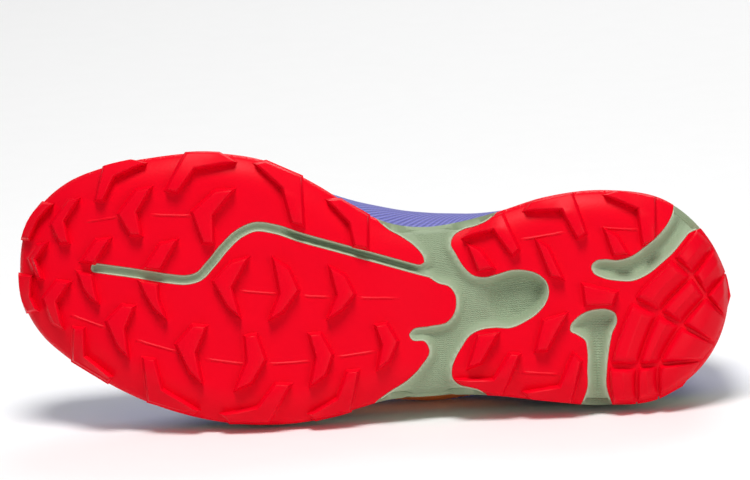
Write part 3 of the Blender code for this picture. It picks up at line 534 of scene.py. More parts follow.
def weaveGroup():
    # crossed threads on the UV in metres: a mask that is high on the thread and low between
    group, given, out = newGroup("weave", {"Pitch": 0.0016, "Slant": 0.6, "Across": 0.4}, ("Mask",))
    split = addNode(group, "SeparateXYZ", {0: addNode(group, "UVMap").outputs["UV"]})
    u, v = split.outputs["X"], split.outputs["Y"]
    slanted = operate(group, "ADD", u, operate(group, "MULTIPLY", v, given["Slant"]))
    turn = operate(group, "DIVIDE", 2 * math.pi, given["Pitch"])
    ribs = operate(group, "SINE", operate(group, "MULTIPLY", slanted, turn))
    finer = operate(group, "MULTIPLY", operate(group, "MULTIPLY", v, turn), 1.7)
    threads = operate(group, "MULTIPLY", operate(group, "SINE", finer), given["Across"])
    both = operate(group, "ADD", ribs, threads)
    group.links.new(operate(group, "MULTIPLY_ADD", both, 0.5, 0.5), out["Mask"])
    return group


def zigzagGroup():
    # fine wavy lines on the UV in metres, as moulded into the foam
    group, given, out = newGroup("zigzag", {"Pitch": 0.0011, "Step": 0.0020, "Swing": 0.45}, ("Height",))
    split = addNode(group, "SeparateXYZ", {0: addNode(group, "UVMap").outputs["UV"]})
    swing = operate(group, "DIVIDE", split.outputs["X"], given["Step"])
    swing = operate(group, "MULTIPLY", operate(group, "PINGPONG", swing, 1.0), given["Swing"])
    turns = operate(group, "ADD", operate(group, "DIVIDE", split.outputs["Y"], given["Pitch"]), swing)
    height = operate(group, "SINE", operate(group, "MULTIPLY", turns, 2 * math.pi))
    group.links.new(operate(group, "MULTIPLY_ADD", height, 0.5, 0.5), out["Height"])
    return group


speckle, weave, zigzag = speckleGroup(), weaveGroup(), zigzagGroup()


def addBump(tree, height, distance, normal=None, invert=False):
    # relief from a height, laid over another relief's normal where there is one
    inputs = {"Height": height, "Distance": distance, **({"Normal": normal} if normal else {})}
    return addNode(tree, "Bump", inputs, invert=invert).outputs["Normal"]


def plainMaterial(name, look):
    # speckled colour, fine grain and, where a second colour is given, a woven mask between the two
    material = bpy.data.materials.new(name)
    material.use_nodes = True
    tree = material.node_tree
    shader = tree.nodes["Principled BSDF"]
    shader.inputs["Roughness"].default_value = look["roughness"]
    shader.inputs["Specular IOR Level"].default_value = look.get("specular", 0.5)
    shader.inputs["Sheen Weight"].default_value = look.get("sheen", 0)
    inputs = {"Color": (*look["color"], 1), "Drift": look.get("drift", 0.06)}
    grain = addNode(tree, "Group", inputs, node_tree=speckle)
    colour = grain.outputs["Color"]
    normal = addBump(tree, grain.outputs["Height"], look.get("grain", 0.00005))
    if "thread" in look:
        inputs = {key.title(): look[key] for key in ("pitch", "slant", "across")}
        mask = addNode(tree, "Group", inputs, node_tree=weave).outputs["Mask"]
        inputs = {"Factor": mask, "A": (*look["thread"], 1), "B": colour}
        colour = addNode(tree, "Mix", inputs, data_type="RGBA", clamp_factor=True).outputs["Result"]
        normal = addBump(tree, mask, look["relief"], normal)
    tree.links.new(colour, shader.inputs["Base Color"])
    tree.links.new(normal, shader.inputs["Normal"])
    return material


finishes = {
    "redRubber": {"color": (0.78, 0.0005, 0.013), "roughness": 0.36, "drift": 0.03, "specular": 0.07},
    "sageFoam": {
        "color": (0.29, 0.365, 0.235), "roughness": 0.65, "drift": 0.05, "grain": 0.00008, "specular": 0.25,
    },
    "violetCloth": {
        "color": (0.20, 0.20, 0.62), "thread": (0.10, 0.10, 0.36), "roughness": 0.8, "sheen": 0.2,
        "pitch": 0.0024, "slant": 0.7, "across": 0.35, "relief": 0.0004,
    },
    "lining": {
        "color": (0.16, 0.16, 0.30), "thread": (0.09, 0.09, 0.19), "roughness": 0.9, "sheen": 0.3,
        "pitch": 0.0012, "slant": 0.0, "across": 1.0, "relief": 0.0002,
    },
    "indigoFilm": {"color": (0.08, 0.08, 0.34), "roughness": 0.5, "drift": 0.05},
    "bumperFilm": {"color": (0.11, 0.11, 0.42), "roughness": 0.5, "drift": 0.05},
    "orangeFilm": {"color": (0.95, 0.28, 0.05), "roughness": 0.5, "drift": 0.06},
    "tongueCloth": {
        "color": (0.13, 0.13, 0.45), "thread": (0.07, 0.07, 0.26), "roughness": 0.85, "sheen": 0.3,
        "pitch": 0.0016, "slant": 0.0, "across": 1.0, "relief": 0.0003,
    },
    "insoleCloth": {
        "color": (0.07, 0.07, 0.09), "thread": (0.03, 0.03, 0.04), "roughness": 0.9, "sheen": 0.2,
        "pitch": 0.0012, "slant": 1.0, "across": 0.6, "relief": 0.0002,
    },
    "laceCord": {
        "color": (0.47, 0.56, 0.37), "thread": (0.28, 0.34, 0.22), "roughness": 0.85, "sheen": 0.2,
        "pitch": 0.0011, "slant": 1.0, "across": 0.8, "relief": 0.0003,
    },
    "thread": {"color": (0.30, 0.30, 0.70), "roughness": 0.7},
    "eyeletRing": {"color": (0.05, 0.05, 0.22), "roughness": 0.4},
}
paint = {name: plainMaterial(name, look) for name, look in finishes.items()}


def addFoamLightAndTexture(material, look):
    # a painted highlight along the lip, and a fine moulded texture with painted shade in its troughs, where
    # the mesh's two masks say
    tree = material.node_tree
    shader = tree.nodes["Principled BSDF"]
    colour, normal = (shader.inputs[label].links[0].from_socket for label in ("Base Color", "Normal"))
    marks = addNode(tree, "Attribute", attribute_name="foamLightAndTexture")
    # the first mask places the painted highlight along the lip; the second places the texture and the painted
    # shade in its troughs
    lip, textureAndShade, _ = addNode(tree, "SeparateColor", {0: marks.outputs["Color"]}).outputs
    # painted highlight: the foam's colour is mixed towards a lighter tint along the lip
    inputs = {"Factor": lip, "A": colour, "B": (*look["paintedHighlight"], 1)}
    highlighted = addNode(tree, "Mix", inputs, data_type="RGBA").outputs["Result"]
    inputs = {key.title(): look[key] for key in ("pitch", "step", "swing")}
    lines = addNode(tree, "Group", inputs, node_tree=zigzag)
    amount = operate(tree, "MULTIPLY", lines.outputs["Height"], textureAndShade)
    # painted shade: the texture's troughs are darkened by multiplying with a dull tint, scaled by the shade
    # strength
    inputs = {
        "Factor": operate(tree, "MULTIPLY", amount, look["shade"]), "A": highlighted, "B": (*look["paintedShade"], 1),
    }
    shaded = addNode(tree, "Mix", inputs, data_type="RGBA", blend_type="MULTIPLY").outputs["Result"]
    tree.links.new(shaded, shader.inputs["Base Color"])
    tree.links.new(addBump(tree, amount, look["relief"], normal, True), shader.inputs["Normal"])


# tint of the painted highlight along the lip, tint and strength of the painted shade in the texture's
# troughs, and the texture's size and relief
foamLook = {
    "paintedHighlight": (0.50, 0.58, 0.42), "paintedShade": (0.72, 0.76, 0.68),
    "pitch": 0.00085, "step": 0.0007, "swing": 0.35, "relief": 0.0002, "shade": 0.32,
}
addFoamLightAndTexture(paint["sageFoam"], foamLook)
print("materials made")


# The rubber: a wrapped sheet triangulated to its outline, with the lugs standing on it
rubber = {
    "spacing": 0.0022,
    "rings": (0.0003, 0.0007, 0.0012, 0.0018),
    "edgeRound": 0.00035,
    "mouthRound": 0.0036,
    "clear": 0.00025,  # no free point of the sheet lies closer than this to an outline
    "wallBand": 0.0021,  # the sheet turns up into the wrap within this of the rim
    "rimClear": 0.0005,  # cut edges are rounded up to this from the rim
    "lugRings": (  # outline drawn in by, share of the height
        (-0.0009, -0.03), (-0.0005, 0.06), (-0.0002, 0.2), (0.0001, 0.70), (0.0003, 0.87), (0.0006, 0.96),
        (0.0010, 1.0),
    ),
    "proud": {"forefoot": 0.0007, "heel": -0.0001},  # how far lugs may stand past the outline
    # a heel block's height from its inner edge out, and along its length
    "blockRise": ((0, 0.055, 0.12, 0.50, 0.88, 0.945, 1), (0, 0.80, 1.08, 0.98, 0.40, 0.18, 0)),
    "blockEnds": ((0, 0.055, 0.12, 0.88, 0.945, 1), (0, 0.7, 1, 1, 0.7, 0)),
    "blockSteps": 19,
    "blockFade": 0.002,  # blocks get lower within this of the rim
    "blockSink": 0.0012,
    "blockGap": 0.03,  # share of a block's place left free on each side
    "crease": ((-0.0007, -0.0001), (-0.0003, 0.0003), (0, 0.0004), (0.0003, 0.0003), (0.0007, -0.0001)),
    "creaseSteps": 14,
}
outline = rim[::4]


def ribbonOutline(points, width, count, around):
    # a ribbon with a round tip; its medial side widens where it leaves the outline around it
    line = smoothLine(points, count)
    mouth = int(np.flatnonzero(inside(around, line))[-1])
    near = np.clip(1 - np.linalg.norm(line - line[mouth], axis=1) / rubber["mouthRound"], 0, 1)
    near[mouth:] = 1
    flare = (rubber["mouthRound"] * (1 - np.sqrt(1 - near**2)))[:, None]
    side, half = sideways(line), width / 2
    along = np.array((side[0][1], -side[0][0]))
    turns = np.linspace(0, math.pi, 9)[1:-1]
    tip = [line[0] - half * (along * math.sin(a) + side[0] * math.cos(a)) for a in turns]
    return np.vstack([line + side * half, (line - side * (half + flare))[::-1], tip])


def planOutlines():
    # closed outlines, in metres, of the two rubber pieces and of what is cut from them
    far, half, plans = 0.04, sole["ballWidth"], {}
    ends = {"forefoot": (forefootEdge, 260, sole["length"] + far), "heel": (heelEdge, 280, -far)}
    for part, (points, count, end) in ends.items():
        edge = smoothLine(onPlan(points), count)
        corners = [(end, -half), (end, half), (edge[0][0], half)]
        plans[part] = np.vstack([corners, edge, [(edge[-1][0], -half)]])
        cutLines[part] = [edge]
    width = grooveWidth * sole["length"] / sole["gridLong"]
    plans["groove"] = ribbonOutline(onPlan(grooveLine), width, 260, plans["forefoot"])
    for name, points in (("medialSlot", medialSlot), ("lateralSlot", lateralSlot)):
        plans[name] = smoothLine(onPlan(points), 160)
        cutLines["heel"].append(plans[name])
    cutLines["forefoot"].append(plans["groove"])
    return plans


cutLines = {}  # for each piece of rubber its cut edge, and then the outlines cut from it
plans = planOutlines()


def inRubber(xy):
    forefoot = inside(plans["forefoot"], xy) & ~inside(plans["groove"], xy)
    heel = inside(plans["heel"], xy) & ~inside(plans["medialSlot"], xy)
    return forefoot, heel & ~inside(plans["lateralSlot"], xy)


def treeOf(points):
    tree = KDTree(len(points))
    for k, (x, y) in enumerate(points):
        tree.insert((x, y, 0), k)
    tree.balance()
    return tree


def sheetFaces(part, span):
    # plan points and triangles of one piece of rubber, true to its outlines
    verts, edges = [], []
    edge, *holes = cutLines[part]
    for line in (outline, edge, *holes):
        start, count = len(verts), len(line)
        verts += [tuple(p) for p in line]
        last = count - 1 if line is edge else count  # the cut edge is open, the others are closed
        edges += [(start + i, start + (i + 1) % count) for i in range(last)]
    tree = treeOf(verts)
    free = [rim[::6] - rimOut[::6] * inset for inset in rubber["rings"]]
    step = rubber["spacing"]
    xs = np.arange(*span, step)
    ys = np.arange(-sole["ballWidth"] / 2 - step, sole["ballWidth"] / 2 + step, step)
    field = np.array([(x, y) for x in xs for y in ys])
    free.append(field[nearRim(field)[0] > rubber["rings"][-1] + 0.6 * step])
    verts += [tuple(p) for p in np.vstack(free) if tree.find((*p, 0))[2] > rubber["clear"]]
    flat, _, faces, *_ = delaunay_2d_cdt([Vector(v) for v in verts], edges, [], 0, 1e-6)
    flat = np.array([tuple(v) for v in flat])
    centres = np.array([flat[list(f)].mean(axis=0) for f in faces])
    kept = inRubber(centres)[0 if part == "forefoot" else 1] & inside(outline, centres)
    faces = [f for f, good in zip(faces, kept) if good]
    used = sorted({v for f in faces for v in f})
    index = {v: k for k, v in enumerate(used)}
    return flat[used], [tuple(index[v] for v in f) for f in faces]


def rubberSheet(name, part, span):
    flat, faces = sheetFaces(part, span)
    depth, way = nearRim(flat)
    outer = rubberFace(flat, rounded=True)
    top = sole["lugHeight"] + spring(flat[:, 0]) + sole["edgeLift"] + wrapHeight(way)
    inner = np.where(depth < rubber["wallBand"], top, outer + sole["rubber"])
    bm = bmesh.new()
    low, high = ([bm.verts.new((x, y, z)) for (x, y), z in zip(flat, face)] for face in (outer, inner))
    for a, b, c in faces:
        bm.faces.new((low[a], low[b], low[c]))
    bm.verts.index_update()
    border = [tuple(v.index for v in e.verts) for e in bm.edges if e.is_boundary]
    for a, b, c in faces:
        bm.faces.new((high[c], high[b], high[a]))
    for a, b in border:
        bm.faces.new((low[a], low[b], high[b], high[a]))
    bmesh.ops.recalc_face_normals(bm, faces=bm.faces)
    cut = [bm.edges.get((low[a], low[b])) for a, b in border if min(depth[a], depth[b]) > rubber["rimClear"]]
    bmesh.ops.bevel(
        bm, geom=cut, offset=rubber["edgeRound"], segments=2, profile=0.6, affect="EDGES", clamp_overlap=True
    )
    return meshOf(name, bm)


def drawnIn(plan, amount):
    # the outline moved inwards, its corners mitred
    before, after = plan - np.roll(plan, 1, axis=0), np.roll(plan, -1, axis=0) - plan
    before, after = unit(before), unit(after)
    area = np.sum(plan[:, 0] * np.roll(plan[:, 1], -1) - np.roll(plan[:, 0], -1) * plan[:, 1])
    turn = 1 if area > 0 else -1
    normals = [np.column_stack([-v[:, 1], v[:, 0]]) * turn for v in (before, after)]
    middle = normals[0] + normals[1]
    length = np.maximum(0.5, (middle**2).sum(axis=1) / 2)[:, None]
    return plan + middle / length * amount


def heldIn(plan, proud):
    # points that stand past the outline by more than proud are drawn back to it
    depth = nearRim(plan)[0]
    near = ((plan[:, None] - rim[None]) ** 2).sum(axis=2).argmin(axis=1)
    return plan - rimOut[near] * np.clip(-proud - depth, 0, 1)[:, None]


def edgeTree(parts=("forefoot", "heel")):
    # the cut edges of the rubber that are really there
    kept = []
    for part in parts:
        edge, *holes = cutLines[part]
        hidden = np.any([inside(hole, edge) for hole in holes], axis=0)
        kept.append(edge[~hidden])
        kept += [hole[inside(plans[part], hole)] for hole in holes]
    return treeOf(np.vstack(kept))


heelEdges = edgeTree(("heel",))


def keptOnHeel(ring):
    # points of a heel lug that reach over a cut edge are drawn back to it
    off = ~inRubber(ring)[1]
    return np.array([heelEdges.find((*p, 0))[0][:2] if out else tuple(p) for p, out in zip(ring, off)])


def lugMesh(corners, part):
    # a lug in rings, from inside the rubber up over its rounded top
    plan = onPlan(corners)
    rings = []
    for inset, share in rubber["lugRings"]:
        ring = heldIn(drawnIn(plan, inset), rubber["proud"][part])
        if part == "heel":
            ring = keptOnHeel(ring)
        rings.append(np.column_stack([ring, rubberFace(plan) - sole["lugHeight"] * share]))
    count = len(plan)
    faces = ringFaces(len(rings), count)
    faces.append(tuple(range(count)))
    faces.append(tuple(reversed(range((len(rings) - 1) * count, len(rings) * count))))
    mesh = bpy.data.meshes.new("lug")
    mesh.from_pydata(np.vstack(rings).tolist(), [], faces)
    bm = bmesh.new()
    bm.from_mesh(mesh)
    bmesh.ops.triangulate(bm, faces=[f for f in bm.faces if len(f.verts) > 4])
    bmesh.ops.recalc_face_normals(bm, faces=bm.faces)
    bm.to_mesh(mesh)
    bm.free()
    return mesh


def lugOutline(row, parts=3):
    # a lug's corner pairs as one outline, each stretch in a few parts
    pairs = np.array(row, float).reshape(-1, 2, 2)
    full = [pairs[0]]
    for near, far in zip(pairs, pairs[1:]):
        full += [near + (far - near) * k / parts for k in range(1, parts + 1)]
    return [pair[0] for pair in full] + [pair[1] for pair in full[::-1]]


def blockPoint(grid, i, j):
    # a place on the curved grid of blocks: i counts the cross grooves, j the rows
    count, rows, _ = grid.shape
    ends = np.array([[curveValue(range(count), grid[:, k, c], i) for c in (0, 1)] for k in range(rows)])
    return [curveValue(range(rows), ends[:, c], j) for c in (0, 1)]


def blockMeshes():
    # each block rises steeply on its inner side, and folds down outwards from its middle
    grid, meshes, n = np.array(heelBlocks, float), [], rubber["blockSteps"]
    steps = np.linspace(0, 1, n)
    rise, ends = (np.interp(steps, *rubber[key]) for key in ("blockRise", "blockEnds"))
    places = rubber["blockGap"] + (1 - 2 * rubber["blockGap"]) * steps
    for i in range(len(grid) - 1):
        for j in range(grid.shape[1] - 1):
            flat = onPlan([blockPoint(grid, i + a, j + b) for a in places for b in places])
            base = rubberFace(flat, rounded=True)
            fade = np.clip(nearRim(flat)[0] / rubber["blockFade"], 0.15, 1)
            height = np.outer(ends, rise).ravel() * sole["blockHeight"] * fade
            top = np.column_stack([flat, base - height + 0.0002]).reshape(n, n, 3)
            under = np.column_stack([flat, base + rubber["blockSink"]]).reshape(n, n, 3)
            block = np.concatenate([top, under[:, ::-1]], axis=1)
            meshes.append(gridMesh("block", block, wrapColumns=True, caps=True))
    return meshes


# Thin raised lines between the lugs, where the flat middle meets the sloping edge: photo points
creaseLines = (
    ((85, 222), (118, 217)), ((150, 215), (192, 216)), ((240, 291), (278, 294)),
    ((303, 296), (330, 297)), ((358, 298), (400, 298)), ((70, 315), (106, 328)),
    ((136, 340), (178, 352)), ((206, 359), (246, 364)), ((268, 364), (311, 361)),
    ((337, 357), (376, 351)), ((520, 240), (566, 232)), ((600, 228), (640, 230)),
    ((522, 372), (559, 374)),
)
photoHeel, photoMiddle = 729, 290  # the photo's column at the heel and row at the grid's middle


def creaseMesh(ends):
    # a low rounded line that fades out at both ends
    a, b = onPlan([(photoHeel - x, photoMiddle - y) for x, y in ends])
    steps = np.arange(rubber["creaseSteps"])
    line = a + (b - a) * (steps / steps[-1])[:, None]
    side = unit(np.array([a[1] - b[1], b[0] - a[0]]))
    fade = np.minimum(1, np.minimum(steps, steps[::-1]) / 2)
    base = rubberFace(line)
    rows = [np.column_stack([line + side * w, base - h * fade]) for w, h in rubber["crease"]]
    return gridMesh("crease", np.stack(rows, axis=1), wrapColumns=True, caps=True)


def makeRubber():
    settings = (
        ("forefootRubber", "forefoot", (0.10, 0.31), forefootLugs, "outsole_forefoot", creaseLines[:10]),
        ("heelRubber", "heel", (-0.01, 0.13), heelLugs, "outsole_heel", creaseLines[10:]),
    )
    for name, part, span, lugs, node, creases in settings:
        meshes = [rubberSheet(name, part, span), *(lugMesh(lugOutline(row), part) for row in lugs)]
        meshes += [creaseMesh(ends) for ends in creases]
        if part == "heel":
            meshes += blockMeshes()
        pieceFrom(name, mergedMesh(name, meshes), ["redRubber"], 32, [node])
        print(name, "made")


makeRubber()

# The midsole: a dense cupped body, its open foam recessed between smooth lips
foam = {
    "ways": 380,
    "across": 150,
    "lipDepth": 0.0005,
    "lipWidth": {"arch": 0.0007, "slot": 0.0006, "groove": 0.0003},
    "fall": {"arch": 0.0040, "slot": 0.0042, "groove": 0.0006},
    "depth": {"arch": 0.0030, "slot": 0.0034, "groove": 0.0018},
    "hollow": ((200, -6), (38, 33), 0.0045),  # centre, reach on the plan's grid, depth
    "hollowFall": 0.004,
    "hidden": 0.0012,  # past this under the rubber the foam lies flat against it
    # width of the painted highlight along the rubber's cut edges
    "highlightWidth": 0.0008,
    "texturedAndShaded": (0.0022, 0.0034),  # the texture and the painted shade in its troughs fade in between these distances from the rubber
    "slotTextureAndShade": 0.7,  # share of the texture and its painted shade that the medial slot keeps
    "bead": ((-0.0001, -0.0006), (0.0000, 0.0001), (0.0003, 0.0003), (0.0006, 0.0001), (0.0008, -0.0006)),
    # stretch of the groove with a gutter, its depth and half width, and the lengths of its ends and sides
    "gutter": (309, 449, 0.0030, 0.0011),
    "gutterFall": (12, 0.0005),
    "beadClear": 0.0015,  # beads end this far from the rim
}


def toEdge(xy):
    # how far each point is from the nearest cut edge of the rubber
    tree = edgeTree()
    return np.array([tree.find((*p, 0))[2] for p in xy])


def foamFace(xy):
    # height of the foam: hidden well inside the rubber, and a lip and a recess where it shows
    covered = np.logical_or(*inRubber(xy))
    signed = toEdge(xy) * np.where(covered, -1, 1)
    zones = {
        "arch": np.ones(len(xy), bool),
        "slot": inside(plans["medialSlot"], xy) | inside(plans["lateralSlot"], xy),
        "groove": inside(plans["groove"], xy) & inside(plans["forefoot"], xy),
    }
    depth = np.zeros(len(xy))
    for zone, within in zones.items():
        share = eased(np.clip((signed - foam["lipWidth"][zone]) / foam["fall"][zone], 0, 1))
        depth = np.where(within, foam["lipDepth"] + (foam["depth"][zone] - foam["lipDepth"]) * share, depth)
    cell = onPlan((1, 1))
    first, last, drop, half = foam["gutter"]
    along = xy[:, 0] / cell[0]
    endFall, sideFall = foam["gutterFall"]
    ends = np.clip(np.minimum(along - first, last - along) / endFall, 0, 1)
    middle = np.clip((signed - half) / sideFall, 0, 1)
    depth = depth + np.where(zones["groove"], ends * middle * drop, 0)
    centre, size, deep = foam["hollow"]
    bowl = eased(np.clip(1.35 - (((xy / cell - centre) / size) ** 2).sum(axis=1), 0, 1))
    depth = depth + np.where(covered, 0, bowl * np.clip(signed / foam["hollowFall"], 0, 1) * deep)
    depth = np.where(signed < -foam["hidden"], sole["rubber"] + fitGap, depth)
    return rubberFace(xy) + depth


def foamWall(ways, side):
    # the side's section from the bottom edge up over the lip, with rounded turns
    edge = rimPoints(ways, side)
    under = sole["rubber"] + fitGap
    low = rubberFace(edge)
    ledge = low + wrapHeight(ways) + 1.7 * fitGap
    lip = lipTop(ways, side)
    band = np.minimum(sole["rimBand"], (lip - ledge) * 0.5)
    openArch = np.exp(-((np.abs(edge[:, 0] / sole["length"] - 0.42) / 0.029) ** 6))
    cove = under + (0.0015 - under) * openArch
    step = sole["rimStep"] * (1 - 0.4 * openArch)
    back, cup = sole["lipSetback"], cupInset
    zero = ways * 0
    profile = [
        (cove, ledge),
        (cove * openArch, ledge + 0.0002),
        (step * 0.9 * (1 - openArch), ledge + 0.0012),
        (step, lip - band - 0.0016),
        (step * 0.95, lip - band - 0.0011),
        (step * 0.25, lip - band - 0.0004),
        (zero, lip - band + 0.0001),
        (zero + back * 0.25, lip - band * 0.45),
        (zero + back * 0.8, lip - 0.0005),
        (zero + back + 0.0005, lip),
        (zero + cup - 0.0005, lip),
        (zero + cup, lip - 0.0004),
    ]
    return [np.column_stack([rimPoints(ways, side, inset), z]) for inset, z in profile]


def runsOf(line, kept):
    # the stretches of a closed or open line where kept is true
    if not kept.all() and kept[0] and kept[-1]:
        first = int(np.argmin(kept))
        line, kept = np.roll(line, -first, axis=0), np.roll(kept, -first)
    cuts = np.flatnonzero(np.diff(kept.astype(int))) + 1
    return [part for part, on in zip(np.split(line, cuts), np.split(kept, cuts)) if on[0] and len(on) > 4]


def lipBeads():
    # the small roll of foam that stands along each cut edge of the rubber
    meshes = []
    for part, (edge, *holes) in cutLines.items():
        hidden = np.any([inside(hole, edge) for hole in holes], axis=0)
        stretches = [(edge, ~hidden), *((hole, inside(plans[part], hole)) for hole in holes)]
        runs = []
        for line, kept in stretches:
            runs += runsOf(line, kept & (nearRim(line)[0] > foam["beadClear"]))
        for line in runs:
            side = sideways(line)
            away = np.where(np.logical_or(*inRubber(line + side * 0.0006)), -1, 1)[:, None]
            base = rubberFace(line) + foam["lipDepth"]
            rows = [np.column_stack([line + side * away * w, base - h]) for w, h in foam["bead"]]
            meshes.append(gridMesh("bead", np.stack(rows, axis=1), wrapColumns=True, caps=True))
    return meshes


def markFoam(mesh):
    # two masks on the foam's underside: a painted highlight along the rubber's edges, and the textured
    # middle, whose troughs also get painted shade
    xy = np.array([v.co[:2] for v in mesh.vertices])
    down = np.array([v.normal.z < -0.35 for v in mesh.vertices])
    away, shown = toEdge(xy), down & ~np.logical_or(*inRubber(xy))
    # painted highlight: a pale band along the rubber's cut edges
    lip = np.clip(1.35 - away / foam["highlightWidth"], 0, 1) * shown
    first, last = foam["texturedAndShaded"]
    # the texture, with painted shade in its troughs, fades in away from the rubber and the rim
    textureAndShade = np.clip((np.minimum(away, nearRim(xy)[0] + 0.001) - first) / (last - first), 0, 1) * shown
    textureAndShade = textureAndShade * np.where(inside(plans["medialSlot"], xy), foam["slotTextureAndShade"], 1)
    mask = mesh.color_attributes.new(name="foamLightAndTexture", type="FLOAT_COLOR", domain="POINT")
    mask.data.foreach_set("color", np.column_stack([lip, textureAndShade, lip * 0, lip * 0 + 1]).ravel())


def acrossSole(ways, inset, count):
    # points of the plan from the lateral to the medial side, at each way
    lateral, medial = rimPoints(ways, -1, inset), rimPoints(ways, 1, inset)
    return lateral[:, None] + (medial - lateral)[:, None] * np.linspace(0, 1, count)[None, :, None]


def makeMidsole():
    ways = waysOf(foam["ways"])
    bottom = acrossSole(ways, sole["rubber"] + fitGap, foam["across"])
    bottom = np.dstack([bottom, foamFace(bottom.reshape(-1, 2)).reshape(bottom.shape[:2])])
    walls = {side: np.stack(foamWall(ways, side), axis=1) for side in (-1, 1)}
    top = acrossSole(ways, cupInset, 12)[:, ::-1]
    top = np.dstack([top, floorHeight(top[:, :, 0])])
    rings = np.concatenate([walls[-1][:, ::-1], bottom, walls[1], top], axis=1)
    mesh = mergedMesh("midsoleFoam", [gridMesh("foamBody", rings, wrapColumns=True), *lipBeads()])
    markFoam(mesh)
    pieceFrom("midsoleFoam", mesh, ["sageFoam"], 60, ["midsole"])
    print("midsole made")


makeMidsole()

# The upper: one padded shell, its outside from curves between the lip and the top edge
upper = {
    "wall": 0.0022,
    "padding": 0.0055,
    "padFrom": 0.4,  # rise at which the padding begins
    "padEnd": (0.03, 0.08),  # ways before the throat at which it ends, and over which it fades
    "beadRings": 5,
    "ways": 150,
    "rises": 46,
    "collarHeight": 0.102,
    "aboveLip": 0.0008,
    "overlay": 0.0011,
    "overlayGap": 0.0004,
}
filmTop = upper["overlayGap"] + upper["overlay"]
onFilm = filmTop + 0.0001
rowTables = {1: np.array(medialRows), -1: np.array(lateralRows)}


def upperPoints(ways, side, rises):
    # rise is -1 at the cup's floor, 0 at the lip and 1 at the top edge; rises has a row for each way
    ways = np.asarray(ways, float)
    rises = np.broadcast_to(rises, (len(ways), np.shape(rises)[-1]))
    table = rowTables[side]
    along, across, up, lean, wallReach, dip, topReach = (
        curveValue(table[:, 0], table[:, k], ways) for k in range(1, 8)
    )
    edge = rimPoints(ways, side, cupInset + fitGap)
    out = unit(edge - rimPoints(ways, side, cupInset + fitGap + 0.004))
    out = np.column_stack([out, ways * 0])
    start = np.column_stack([edge, lipTop(ways, side) + upper["aboveLip"]])
    floor = np.column_stack([edge, floorHeight(edge[:, 0]) + fitGap])
    top = np.column_stack([along * sole["length"], across * sole["ballWidth"], up * upper["collarHeight"]])
    away = unit((start - top) * (1, 1, 0) * 0.5 + out * 0.02)
    reach = np.linalg.norm(top - start, axis=1)
    lean, dip = np.radians(lean), np.radians(dip)
    rise = np.array((0, 0, 1.0))
    low = start + (rise * np.cos(lean)[:, None] + out * np.sin(lean)[:, None]) * (reach * wallReach)[:, None]
    high = top + (away * np.cos(dip)[:, None] - rise * np.sin(dip)[:, None]) * (reach * topReach)[:, None]
    b = np.clip(rises, 0, 1)[:, :, None]
    a = 1 - b
    curve = start[:, None] * a**3 + low[:, None] * 3 * a * a * b
    curve = curve + high[:, None] * 3 * a * b * b + top[:, None] * b**3
    sunk = start[:, None] + (floor - start)[:, None] * np.clip(-rises, 0, 1)[:, :, None]
    return np.where(rises[:, :, None] > 0, curve, sunk)


def upperNormals(ways, side, rises):
    # outward normals of the upper's face
    step = 0.004  # share of the way over which a slope is taken
    ways = np.clip(ways, step, 1 - step)
    rises = np.broadcast_to(np.clip(rises, 0.001, 1), (len(ways), np.shape(rises)[-1]))
    along = upperPoints(ways + step, side, rises) - upperPoints(ways - step, side, rises)
    low, high = np.maximum(rises - step, 0.0001), np.minimum(rises + step, 1)
    up = upperPoints(ways, side, high) - upperPoints(ways, side, low)
    return unit(np.cross(along, up) * -side)


def faceSpot(way, side, rise, lift):
    # a place over the upper's face, and the face's normal there
    rises = np.array([[rise]])
    normal = upperNormals([way], side, rises)[0, 0]
    return upperPoints([way], side, rises)[0, 0] + normal * lift, normal


def bothSides(count):
    # ways up the medial side and back down the lateral one
    ways = waysOf(count)
    return ways, ways[1:-1][::-1]


def makeUpper():
    # outside, rounded top edge and inside, padded behind the throat
    rises = np.concatenate([[-1, -0.5, -0.05], np.linspace(0.002, 1, upper["rises"])])
    shells = []
    for side, ways in zip((1, -1), bothSides(upper["ways"])):
        outer = upperPoints(ways, side, rises)
        normals = upperNormals(ways, side, rises)
        end, fade = upper["padEnd"]
        behind = np.clip((throatWay - end - ways) / fade, 0, 1)[:, None]
        puff = np.clip(2.2 * (rises - upper["padFrom"]) / (1 - upper["padFrom"]), 0, 1) ** 1.2
        thick = upper["wall"] + upper["padding"] * behind * puff[None]
        inner = outer - normals * thick[:, :, None]
        middle = (outer[:, -1] + inner[:, -1]) / 2
        reach = outer[:, -1] - middle
        tangent = unit(np.cross(np.cross(reach, outer[:, -1] - outer[:, -2]), reach))
        radius = np.linalg.norm(reach, axis=1)[:, None]
        bead = [
            middle + reach * math.cos(a) + tangent * radius * math.sin(a) * 0.55
            for a in np.linspace(0, math.pi, upper["beadRings"] + 2)[1:-1]
        ]
        shells.append(np.concatenate([outer, np.stack(bead, axis=1), inner[:, ::-1]], axis=1))
    rings = np.concatenate(shells, axis=0)
    inner = len(rises) + upper["beadRings"] - 1
    mesh = gridMesh("upperShell", rings, wrapRows=True, wrapColumns=True, inner=inner)
    pieceFrom("upperShell", mesh, ["violetCloth", "lining"], 60, ["upper"])
    print("upper made")


makeUpper()


# Overlays: welded film on the upper, with stitches along their edges
stitch = {
    "first": 0.001, "length": 0.0020, "gap": 0.0009, "radius": 0.00028, "sides": 6, "inFromEdge": 0.035,
    "rings": ((0, 0.25), (0.15, 0.85), (0.5, 1), (0.85, 0.85), (1, 0.25)),  # shares of length and radius
}


